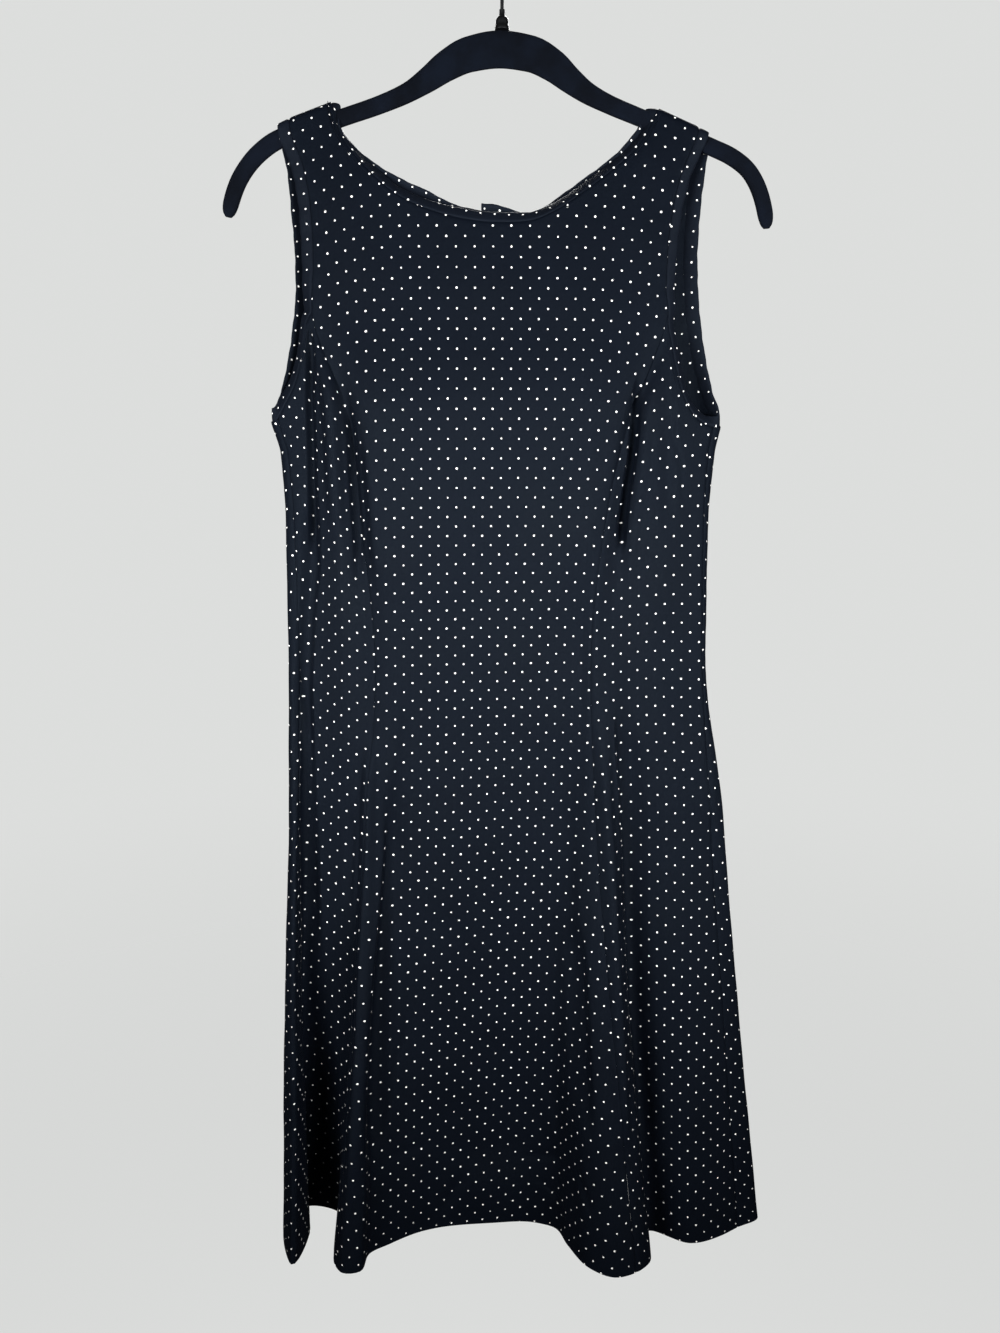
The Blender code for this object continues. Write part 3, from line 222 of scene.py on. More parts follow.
# ==== named options
class Layer(Enum):
    """The two sides of the hanging cloth."""

    FRONT = "front"
    BACK = "back"


class Slot(Enum):
    """The record's material slots."""

    KNIT = "dotted_knit"
    # the bands' finish: the body's knit painted lighter, as painted light
    BAND_PAINTED_LIGHTER = "band_knit"
    FLOCK = "black_flock"
    STEEL = "bright_steel"


# ==== curve helpers
def row_slopes(places: Array, values: Array) -> Array:
    """Slopes that keep a curve through the values free of overshoot.

    Args:
        places: increasing positions, shape (n,).
        values: values there, shape (..., n).

    Returns:
        One slope per value.
    """
    step = np.diff(places)
    rise = np.diff(values, axis=-1) / step
    slopes = np.zeros_like(values, dtype=float)
    before, after = rise[..., :-1], rise[..., 1:]
    weight_a = 2.0 * step[1:] + step[:-1]
    weight_b = step[1:] + 2.0 * step[:-1]
    same = before * after > 0.0
    safe_before = np.where(same, before, 1.0)
    safe_after = np.where(same, after, 1.0)
    mean = (weight_a + weight_b) / (weight_a / safe_before + weight_b / safe_after)
    slopes[..., 1:-1] = np.where(same, mean, 0.0)
    slopes[..., 0] = rise[..., 0]
    slopes[..., -1] = rise[..., -1]
    return slopes


def blend(start: Array, end: Array, leave: Array, arrive: Array, t: Array) -> Array:
    """Cubic from one value to another.

    Args:
        start: values at t = 0.
        end: values at t = 1.
        leave: slopes at t = 0.
        arrive: slopes at t = 1.
        t: shares of the way.

    Returns:
        The values at t.
    """
    t2 = t * t
    t3 = t2 * t
    return ((2 * t3 - 3 * t2 + 1) * start + (t3 - 2 * t2 + t) * leave
            + (3 * t2 - 2 * t3) * end + (t3 - t2) * arrive)


def smooth_curve(places: Array, values: Array, wanted: Array) -> Array:
    """Values of a smooth curve without overshoot.

    Args:
        places: increasing positions of the known values, shape (n,).
        values: known values, shape (..., n).
        wanted: positions to read, shape (m,).

    Returns:
        Values there, shape (..., m).
    """
    slopes = row_slopes(places, values)
    span = np.clip(np.searchsorted(places, wanted, side="right") - 1, 0, len(places) - 2)
    width = places[span + 1] - places[span]
    return blend(values[..., span], values[..., span + 1], slopes[..., span] * width,
                 slopes[..., span + 1] * width, (wanted - places[span]) / width)


def unit(vectors: Array) -> Array:
    """Each vector divided by its length."""
    size = np.linalg.norm(vectors, axis=-1, keepdims=True)
    return vectors / np.maximum(size, 1e-12)


def ease(t: Array | float) -> Array:
    """Smooth step from 0 to 1."""
    t = np.clip(t, 0.0, 1.0)
    return t * t * (3.0 - 2.0 * t)


def run_length(points: Array) -> Array:
    """Length along a line, from its first point to each of its points."""
    steps = np.linalg.norm(np.diff(points, axis=0), axis=1)
    return np.concatenate([[0.0], np.cumsum(steps)])


def ring_angles(count: int) -> Array:
    """Angles of evenly spaced points of a ring, radians."""
    return 2.0 * math.pi * np.arange(count) / count


def resample(points: Rows, count: int, close: str = "") -> Array:
    """Spread points evenly along a smooth curve through the given ones.

    Args:
        points: the curve's (X, drop) rows.
        count: number of steps, so count + 1 points come back.
        close: "start", "end" or "both", the ends that cross the shoulder's bend and
            take the closer steps of BEND_STEPS first.

    Returns:
        The points, shape (count + 1, 2).
    """
    rows = np.array(points, float)
    reach = run_length(rows)
    curve = smooth_curve(reach, rows.T, np.linspace(0.0, reach[-1], CURVE_POINTS)).T
    length = run_length(curve)
    first = [0.0, *BEND_STEPS] if close in ("start", "both") else [0.0]
    final = [*BEND_STEPS[::-1], 0.0] if close in ("end", "both") else [0.0]
    inner = count - (len(first) - 1) - (len(final) - 1)
    middle = np.linspace(first[-1], length[-1] - final[0], inner + 1)
    even = np.concatenate([first[:-1], middle, length[-1] - np.array(final[1:])])
    return np.column_stack([np.interp(even, length, curve[:, k]) for k in (0, 1)])


# ==== the draped cloth
@dataclass(frozen=True)
class Crease:
    """A soft ridge or trough pressed into the cloth."""

    layer: Layer  # the side of the dress it lies on
    height: float  # how far it stands out at its strongest, mm; a trough is negative
    left: float  # reach of its flank on the viewer's left, or smaller X, mm
    right: float  # reach of the other flank, mm
    fade: float  # share of its length over which each end dies away
    # (X, drop) points it runs through, from the top down
    line: tuple[tuple[float, float], ...]

    def lift(self, across: Array, drop: Array) -> Array:
        """Height of the crease over points of its layer.

        Args:
            across: X of the points.
            drop: their drops.

        Returns:
            Millimetres out of the cloth.
        """
        rows = np.array(self.line, float)
        reach = run_length(rows)
        path = smooth_curve(reach, rows.T, np.linspace(0.0, reach[-1], CREASE_POINTS)).T
        best = np.full(across.shape, 1e9)
        along = np.zeros(across.shape)
        side = np.zeros(across.shape)
        total = len(path) - 1
        for k in range(total):
            step = path[k + 1] - path[k]
            off_x, off_d = across - path[k, 0], drop - path[k, 1]
            share = np.clip((off_x * step[0] + off_d * step[1]) / (step @ step), 0.0, 1.0)
            gap = np.hypot(off_x - share * step[0], off_d - share * step[1])
            near = gap < best
            best = np.where(near, gap, best)
            along = np.where(near, (k + share) / total, along)
            side = np.where(near, off_x * step[1] - off_d * step[0], side)
        width = np.where(side > 0.0, self.right, self.left)
        flank = np.clip(1.0 - (best / width) ** 2, 0.0, 1.0)
        ends = ease(along / self.fade) * ease((1.0 - along) / self.fade)
        return self.height * flank * flank * ends


class Drape:
    """The outer face of the cloth, addressed by a place round it and a drop."""

    def __init__(self) -> None:
        """Read the table of fold lines and measure the cloth round each level."""
        self.names = [row[0] for row in FOLD_LINES]
        self.count = len(self.names)
        self.levels = np.array(list(LEVELS.values()), float)
        self.table = np.array([[row[1], row[2]] for row in FOLD_LINES], float)
        self.slopes = row_slopes(self.levels, self.table)
        self.front = (self.place("left_tip"), self.place("right_edge"))
        self.girth_places = np.arange(self.count * GIRTH_STEPS + 1) / GIRTH_STEPS
        self.girth_drops = np.linspace(self.levels[0], self.levels[-1], GIRTH_ROWS)
        self.girths = np.array([self.girth_at(drop) for drop in self.girth_drops])

    def place(self, name: str) -> int:
        """Number of the named fold line."""
        return self.names.index(name)

    def lines_at(self, drop: Array) -> Array:
        """X and depth of every fold line.

        Args:
            drop: where to read them, shape (n,).

        Returns:
            Shape (n, lines, 2).
        """
        drop = np.clip(drop, self.levels[0], self.levels[-1])
        last = len(self.levels) - 2
        span = np.clip(np.searchsorted(self.levels, drop, side="right") - 1, 0, last)
        width = self.levels[span + 1] - self.levels[span]
        t = (drop - self.levels[span]) / width
        value = blend(self.table[..., span], self.table[..., span + 1],
                      self.slopes[..., span] * width, self.slopes[..., span + 1] * width, t)
        return np.moveaxis(value, 2, 0)

    def section(self, q: Array, drop: Array) -> Array:
        """Where the cloth runs on level sections.

        Args:
            q: places.
            drop: the section's drop at each.

        Returns:
            X and depth, shape (n, 2).
        """
        lines = self.lines_at(drop)
        index = np.floor(q).astype(int)
        t = (q - index)[:, None]
        rows = np.arange(len(q))
        pick = [lines[rows, (index + k) % self.count] for k in (-1, 0, 1, 2)]
        chords = [np.maximum(np.linalg.norm(pick[k + 1] - pick[k], axis=1), 0.5)[:, None]
                  for k in range(3)]
        steps = [(pick[k + 1] - pick[k]) / chords[k] for k in range(3)]
        leave = (steps[0] * chords[1] + steps[1] * chords[0]) / (chords[0] + chords[1])
        arrive = (steps[1] * chords[2] + steps[2] * chords[1]) / (chords[1] + chords[2])
        return blend(pick[1], pick[2], leave * chords[1], arrive * chords[1], t)

    @staticmethod
    def shoulder_top(x: Array) -> Array:
        """Drop of the shoulder line's top.

        Args:
            x: X to read it at.

        Returns:
            The drops, as many.
        """
        low = []
        for side in ("left", "right"):
            (x0, d0), (x1, d1) = SHOULDER_LINE[side]
            low.append(d0 + (x - x0) * (d1 - d0) / (x1 - x0))
        return np.where(x < 0.0, low[0], low[1])

    def crown(self, x: Array) -> Array:
        """Drop at which the cloth starts to bend over the hanger's arm."""
        return self.shoulder_top(x) + CROWN_RADIUS

    def seam_drop(self, x: Array) -> Array:
        """Unrolled drop of the shoulder seam, on top of the arm."""
        return self.crown(x) - CROWN_RADIUS * math.pi / 2.0

    def face(self, q: Array, drop: Array) -> Array:
        """Points of the outer face before creases, in millimetres.

        A drop above the crown is unrolled: it is walked over the bend to the top.

        Args:
            q: places.
            drop: drops, as many.

        Returns:
            Points, shape (n, 3).
        """
        flat = self.section(q, drop)
        for _ in range(3):
            crown = self.crown(flat[:, 0])
            flat = self.section(q, np.maximum(drop, crown))
        turn = np.clip((crown - drop) / CROWN_RADIUS, 0.0, math.pi)
        height = np.where(drop < crown, crown - CROWN_RADIUS * np.sin(turn), drop)
        depth = flat[:, 1] * np.cos(turn)
        return np.column_stack([flat[:, 0], depth, -height])

    def normal(self, q: Array, drop: Array) -> Array:
        """Unit vectors out of the cloth before creases.

        Args:
            q: places.
            drop: drops, as many.

        Returns:
            Shape (n, 3).
        """
        along = self.face(q + 0.02, drop) - self.face(q - 0.02, drop)
        down = self.face(q, drop + 0.3) - self.face(q, drop - 0.3)
        return unit(np.cross(down, along))

    def find(self, low: float, high: float, x: Array, drop: Array) -> Array:
        """Places whose X is the given one at each drop.

        Args:
            low: first place of the layer to look in.
            high: last place of it.
            x: wanted X values.
            drop: the drops, as many.

        Returns:
            The places, by halving the layer again and again.
        """
        lows, highs = np.full(x.shape, float(low)), np.full(x.shape, float(high))
        rising = self.face(highs, drop)[:, 0] > self.face(lows, drop)[:, 0]
        for _ in range(FIND_PASSES):
            middle = (lows + highs) / 2.0
            beyond = (self.face(middle, drop)[:, 0] > x) == rising
            highs = np.where(beyond, middle, highs)
            lows = np.where(beyond, lows, middle)
        return (lows + highs) / 2.0

    def girth_at(self, drop: float) -> Array:
        """Length round the cloth from the centre back to each of girth_places."""
        return run_length(self.section(self.girth_places,
                                       np.full(len(self.girth_places), drop)))

    def girth(self, q: Array, drop: Array) -> Array:
        """Length round the cloth from the centre back.

        Args:
            q: places.
            drop: drops, as many.

        Returns:
            The lengths, read off the table of girths.
        """
        row = (np.clip(drop, self.levels[0], self.levels[-1]) - self.levels[0]) \
            / (self.levels[-1] - self.levels[0]) * (GIRTH_ROWS - 1)
        low = np.minimum(row.astype(int), GIRTH_ROWS - 2)
        column = np.clip(q, 0.0, self.count) * GIRTH_STEPS
        left = np.minimum(column.astype(int), len(self.girth_places) - 2)
        rise, run = row - low, column - left
        table = self.girths
        upper = table[low, left] * (1 - run) + table[low, left + 1] * run
        lower = table[low + 1, left] * (1 - run) + table[low + 1, left + 1] * run
        return upper * (1 - rise) + lower * rise

    def fall(self, place: float, drop: Array) -> Array:
        """Length down the cloth from the highest level.

        Args:
            place: the place it is measured along.
            drop: drops.

        Returns:
            The length to each drop.
        """
        flat = self.section(np.full(GIRTH_ROWS, place), self.girth_drops)
        length = run_length(np.column_stack([flat[:, 1], self.girth_drops]))
        above = np.minimum(drop - self.levels[0], 0.0)
        return np.interp(drop, self.girth_drops, length) + above


# ==== cut pieces
@dataclass
class Net:
    """A cut piece as a net of places and drops, rows from the hem up."""

    name: str  # the piece's name
    places: Array  # place of each knot
    drops: Array  # drop of each knot
    across: Array  # X of each knot, for the rows that are set out by X
    layer: tuple[float, float]  # first and last place that those rows are cut from
    upper_row: int  # the last row that is set out by place
    arm_row: int  # row at which the armhole starts, on a side that follows it
    # role, first column and last column of each stretch of the top edge
    top: list[tuple[str, int, int]]


@dataclass
class Cloth:
    """A cut piece in place: points on its outer face and all that its wall needs."""

    net: Net  # its fine net
    points: Array  # grid of points, rows from the hem up and columns left to right
    normals: Array  # unit vectors out of the cloth
    walls: Array  # thickness there
    grain: Array  # coordinates on the flat cloth, across and down it, mm

    def line(self, edge: str | int) -> Array:
        """Points and normals along a cut edge, shape (n, 2, 3).

        Args:
            edge: role of a stretch of the top edge, read from left to right, or 0 or -1
                for the armhole on that side, read from the underarm up.

        Returns:
            A point and a normal at each knot.
        """
        both = np.stack([self.points, self.normals], axis=2)
        if isinstance(edge, int):
            return both[self.net.arm_row:, edge]
        start, end = next(span[1:] for span in self.net.top if span[0] == edge)
        return both[-1, start:end + 1]


@dataclass
class Side:
    """One side of a body panel, from the hem to the shoulder or the neck."""

    lower: Array  # (place, drop) at each row up to the underarm
    upper: Array  # (X, drop) at each row from there to the yoke
    rise: Array  # (X, drop) rows from the last of those to the top corner

    def bow(self, share: Array) -> Array:
        """How far the rise stands off its chord in X.

        Args:
            share: shares of its drop.

        Returns:
            Millimetres, as many.
        """
        start, end = self.rise[0], self.rise[-1]
        drop = start[1] + (end[1] - start[1]) * share
        across = np.interp(-drop, -self.rise[:, 1], self.rise[:, 0])
        return across - (start[0] + (end[0] - start[0]) * share)


def edge_rows(rows: Rows, drops: Sequence[float]) -> Array:
    """(X, drop) rows of a cut edge at the given drops.

    Args:
        rows: the edge, as (X, drop) rows in any order.
        drops: drops to read it at.

    Returns:
        The rows, shape (n, 2).
    """
    curve = resample(rows, EDGE_POINTS)
    order = np.argsort(curve[:, 1])
    return np.column_stack([np.interp(drops, curve[order, 1], curve[order, 0]), drops])


@dataclass
class Pattern:
    """The cutting pattern: nets of the five body pieces."""

    drape: Drape  # the cloth they are cut from
    column_pitch: float = 14.0  # widest space between columns, mm
    level_rows: int = 13  # number of level rows from the hem to the join
    fan_rows: int = 6  # rows that fan from the join to a top edge
    yoke_rows: int = 3  # rows from the yoke's base to the top

    def column_places(self, first: int, last: int) -> Array:
        """Places of a panel's columns, closer where the fold lines are.

        Args:
            first: fold line of its left seam.
            last: fold line of its right seam.

        Returns:
            The places.
        """
        places = [float(first)]
        drape = self.drape
        real = drape.levels >= LEVELS["underarm"]
        for line in range(first, last):
            here = drape.table[line % drape.count][:, real]
            there = drape.table[(line + 1) % drape.count][:, real]
            width = np.hypot(*(there - here)).max()
            count = int(np.clip(math.ceil(width / self.column_pitch), 2, 6))
            places += [line + (k + 1) / count for k in range(count)]
        return np.array(places)

    def level_drops(self) -> Array:
        """Drops of the level rows, from the hem to just below the join."""
        return HEM_DROP + (JOIN_DROP - HEM_DROP) * np.arange(self.level_rows) \
            / self.level_rows

    def fan_steps(self, length: Array | float) -> list:
        """Rows that fan out to a top edge.

        Args:
            length: from the join to the edge, mm.

        Returns:
            Their distances above the join.
        """
        rows = range(self.fan_rows)
        return [k / self.fan_rows * (length - EDGE_ROWS[0]) for k in rows] \
            + [length - short for short in EDGE_ROWS]

    def side_net(self, name: str, first: int, last: int, arm: Rows) -> Net:
        """A front side panel: a wedge whose whole top is cut to the armhole.

        Args:
            name: the piece's name.
            first: fold line of the left seam.
            last: fold line of the right seam.
            arm: (X, drop) rows of the armhole, left to right.

        Returns:
            The net.
        """
        places = self.column_places(first, last)
        total = len(places) - 1
        curve = resample(arm, total)
        top = self.drape.find(*self.drape.front, curve[:, 0], curve[:, 1])
        top[0], top[-1] = first, last
        grid_q = [places] * self.level_rows
        grid_d = [np.full(total + 1, drop) for drop in self.level_drops()]
        length = JOIN_DROP - curve[:, 1]
        for step in self.fan_steps(length):
            grid_q.append(places + (top - places) * step / length)
            grid_d.append(JOIN_DROP - step)
        q = np.array(grid_q)
        return Net(name, q, np.array(grid_d), np.zeros_like(q), self.drape.front,
                   len(q) - 1, 0, [("arm", 0, total)])

    def seam_side(self, line: int, lower_drops: Sequence[float],
                  upper_drops: Sequence[float], top_drop: float) -> Side:
        """A side of a body panel that stays on one fold line.

        Args:
            line: the fold line.
            lower_drops: rows from the join to the underarm.
            upper_drops: rows from there to the yoke.
            top_drop: drop of its top corner.

        Returns:
            The side.
        """
        lower = [(line, drop) for drop in (*self.level_drops(), *lower_drops)]
        upper, rise = (
            np.column_stack([self.drape.face(np.full(len(drops), float(line)), drops)[:, 0],
                             drops])
            for drops in (np.array(upper_drops, float),
                          np.linspace(upper_drops[-1], top_drop, SEAM_ROWS)))
        return Side(np.array(lower, float), upper, rise)

    @staticmethod
    def top_edge(parts: Sequence[tuple], total: int) -> tuple[Array, list]:
        """Share a panel's columns between the neck and shoulder edges.

        Args:
            parts: (role, rows, ends to draw close) from left to right.
            total: number of columns.

        Returns:
            The (X, drop) points of the top row, and each part's first and last column.
        """
        spare = [len(BEND_STEPS) * {"": 0, "both": 2}.get(close, 1)
                 for _role, _rows, close in parts]
        lengths = [run_length(np.array(rows, float))[-1] for _role, rows, _close in parts]
        free = total - sum(spare)
        counts = [max(2, round(free * part / sum(lengths))) for part in lengths]
        while sum(counts) != free:
            counts[counts.index(max(counts))] += 1 if sum(counts) < free else -1
        points, spans, start = [], [], 0
        for (role, rows, close), count, extra in zip(parts, counts, spare):
            curve = [tuple(spot) for spot in resample(rows, count + extra, close)]
            points += curve if not points else curve[1:]
            spans.append((role, start, start + count + extra))
            start += count + extra
        return np.array(points), spans

    def body_net(self, name: str, ends: tuple[int, int, int], left: Side, right: Side,
                 parts: Sequence[tuple], layer: tuple[float, float], arm_row: int) -> Net:
        """A panel that runs from the hem to the neck and shoulders.

        Args:
            name: the piece's name.
            ends: fold lines of the left seam, of the middle that stays put, and of the
                right seam.
            left: the left side, as seen from outside.
            right: the right side.
            parts: the top edge, as for top_edge.
            layer: first and last place of the layer that the top edge is cut from.
            arm_row: first row on the armhole.

        Returns:
            The net.
        """
        drape = self.drape
        first, middle, last = ends
        places = self.column_places(first, last)
        total = len(places) - 1
        share = (places - first) / (last - first)
        grid_q = [np.interp(places, ends, [a, middle, b])
                  for a, b in zip(left.lower[:, 0], right.lower[:, 0])]
        grid_d = [a + share * (b - a) for a, b in zip(left.lower[:, 1], right.lower[:, 1])]
        upper_row = len(grid_q) - 1

        across = drape.face(grid_q[-1], grid_d[-1])[:, 0]
        low_share = (across - across[0]) / (across[-1] - across[0])
        top, spans = self.top_edge(parts, total)
        length = run_length(top)
        high_share = 0.5 * length / length[-1] + 0.5 * np.arange(total + 1) / total
        rows_x, rows_d = [], []
        for k, (a, b) in enumerate(zip(left.upper, right.upper)):
            part = low_share + (high_share - low_share) * (k + 1) / len(left.upper)
            rows_x.append(a[0] + part * (b[0] - a[0]))
            rows_d.append(a[1] + high_share * (b[1] - a[1]))
        base_x, base_d = rows_x.pop(), rows_d.pop()
        reach = base_d - top[:, 1]
        steps = [k / self.yoke_rows * (reach - EDGE_ROWS[0]) for k in range(self.yoke_rows)]
        for step in steps + [reach - short for short in EDGE_ROWS]:
            rise = step / reach
            bow = (1.0 - high_share) * left.bow(rise) + high_share * right.bow(rise)
            rows_x.append(base_x + (top[:, 0] - base_x) * rise + bow)
            rows_d.append(base_d - step)
        low_x = np.array([drape.face(q, d)[:, 0] for q, d in zip(grid_q, grid_d)])
        rows_x, rows_d = np.array(rows_x), np.array(rows_d)
        found = drape.find(*layer, rows_x.ravel(), rows_d.ravel()).reshape(rows_x.shape)
        return Net(name, np.concatenate([grid_q, found]), np.concatenate([grid_d, rows_d]),
                   np.concatenate([low_x, rows_x]), layer, upper_row, arm_row, spans)

    def shoulder_rows(self, side: str) -> list[tuple[float, float]]:
        """The shoulder seam of one side from the neck out, as (X, unrolled drop) rows."""
        spots = sorted(np.linspace(*SHOULDER_X[side], 4), key=abs)
        return [(float(x), float(self.drape.seam_drop(np.array([x]))[0])) for x in spots]

    def front_side(self, arm: Rows, line: int,
                   princess_drops: Sequence[float], top_drop: float) -> Side:
        """A side of the front: the princess seam, then the armhole.

        Args:
            arm: (X, drop) rows of the armhole.
            line: fold line of the seam.
            princess_drops: rows of the seam from the join up.
            top_drop: drop of its top corner.

        Returns:
            The side.
        """
        seam_part = self.seam_side(line, [JOIN_DROP], princess_drops[1:], 0.0)
        upper = np.concatenate([seam_part.upper, edge_rows(arm, YOKE_DROPS)])
        return Side(seam_part.lower, upper,
                    edge_rows(arm, np.linspace(YOKE_DROPS[-1], top_drop, RISE_ROWS)))

    def back_side(self, arm: Rows, wrap: Rows) -> Side:
        """The armhole side of a back half, with its turn round to the front.

        Args:
            arm: (X, drop) rows of the armhole.
            wrap: (place, drop) rows of the turn.

        Returns:
            The side.
        """
        lower = [(wrap[0][0], drop) for drop in self.level_drops()] + list(wrap)
        return Side(np.array(lower, float), edge_rows(arm, [arm[-1][1], *BACK_ARM_DROPS]),
                    edge_rows(arm, np.linspace(BACK_ARM_DROPS[-1], arm[0][1], RISE_ROWS)))

    def nets(self) -> dict[str, Net]:
        """Cut the five body pieces.

        Returns:
            Their nets by name.
        """
        drape, place, end = self.drape, self.drape.place, self.drape.count
        seam_left, seam_right = place("left_side_seam"), place("right_side_seam")
        princess_left, princess_right = place("princess_left"), place("princess_right")
        left_edge, right_edge = place("left_edge"), place("right_edge")
        seam = {side: self.shoulder_rows(side) for side in ("left", "right")}
        fan = JOIN_DROP - np.array(self.fan_steps(JOIN_DROP - APEX_LEFT[1])[:self.fan_rows])
        princess_drops = [*fan, APEX_LEFT[1]]

        result = [self.body_net(
            "front_centre", (princess_left, place("centre_left"), princess_right),
            self.front_side([seam["left"][-1], *FRONT_ARM_LEFT], princess_left,
                            princess_drops, seam["left"][-1][1]),
            self.front_side([seam["right"][-1], *FRONT_ARM_RIGHT], princess_right,
                            princess_drops, seam["right"][-1][1]),
            [("shoulder_left", seam["left"][::-1], ""),
             ("neck", [seam["left"][0], *FRONT_NECK, seam["right"][0]], "both"),
             ("shoulder_right", seam["right"], "")],
            drape.front, self.level_rows + len(princess_drops) - 1)]
        result.append(self.side_net(
            "front_side_left", seam_left, princess_left,
            [row for row in FRONT_ARM_LEFT[::-1] if row[1] > APEX_LEFT[1] + APEX_SPACE]
            + [APEX_LEFT]))
        result.append(self.side_net(
            "front_side_right", princess_right, seam_right,
            [APEX_RIGHT] + [row for row in FRONT_ARM_RIGHT
                            if row[1] > APEX_RIGHT[1] + APEX_SPACE]))

        wrap_left, wrap_right = ([(place(name) + past, drop) for name, past, drop in rows]
                                 for rows in (WRAP_LEFT, WRAP_RIGHT))
        lower, upper = BACK_MIDDLE_DROPS[:7], BACK_MIDDLE_DROPS[7:]
        result.append(self.body_net(
            "back_left", (0, place("back_left_outer"), seam_left),
            self.seam_side(0, lower, upper, BACK_NECK_LEFT[-1][1]),
            self.back_side([seam["left"][-1], *BACK_ARM_LEFT], wrap_left),
            [("neck", [*BACK_NECK_LEFT[::-1], seam["left"][0]], "end"),
             ("shoulder_left", seam["left"], "")],
            (0, left_edge), self.level_rows + 3))
        result.append(self.body_net(
            "back_right", (seam_right, place("back_right_outer"), end),
            self.back_side([seam["right"][-1], *BACK_ARM_RIGHT], wrap_right),
            self.seam_side(end, lower, upper, BACK_NECK_RIGHT[0][1]),
            [("shoulder_right", seam["right"][::-1], ""),
             ("neck", [seam["right"][0], *BACK_NECK_RIGHT[::-1]], "start")],
            (right_edge, end), self.level_rows + 3))
        return {net.name: net for net in result}


# ==== sewn pieces
@dataclass(frozen=True)
class Grain:
    """How the printed knit lies on one piece, and how it has stretched there."""

    place: float  # the place that its straight grain follows
    # terms of the print's coordinate across, mm: 1, u, v, u2, uv, v2 and so on, with u and
    # v from -1 to 1 over the box from low to high
    across: tuple[float, ...]
    down: tuple[float, ...]  # the same of its coordinate down
    # (across, down) of the box's first corner on the unstretched cloth, mm
    low: tuple[float, float] = (-150.0, 30.0)
    # its last corner; beyond the box the cloth is not stretched
    high: tuple[float, float] = (150.0, 980.0)

    def stretched(self, flat: Array) -> Array:
        """Where the print lies on the stretched cloth.

        Args:
            flat: points on the unstretched cloth, shape (..., 2).

        Returns:
            The print's coordinates there.
        """
        low, high = np.array(self.low), np.array(self.high)
        inside = np.clip(flat, low, high)
        u, v = np.moveaxis(2.0 * (inside - low) / (high - low) - 1.0, -1, 0)
        order = {3: 1, 15: 4}[len(self.across)]
        terms = [u ** (n - k) * v ** k for n in range(order + 1) for k in range(n + 1)]
        return np.stack([sum(a * t for a, t in zip(row, terms))
                         for row in (self.across, self.down)], axis=-1) + flat - inside


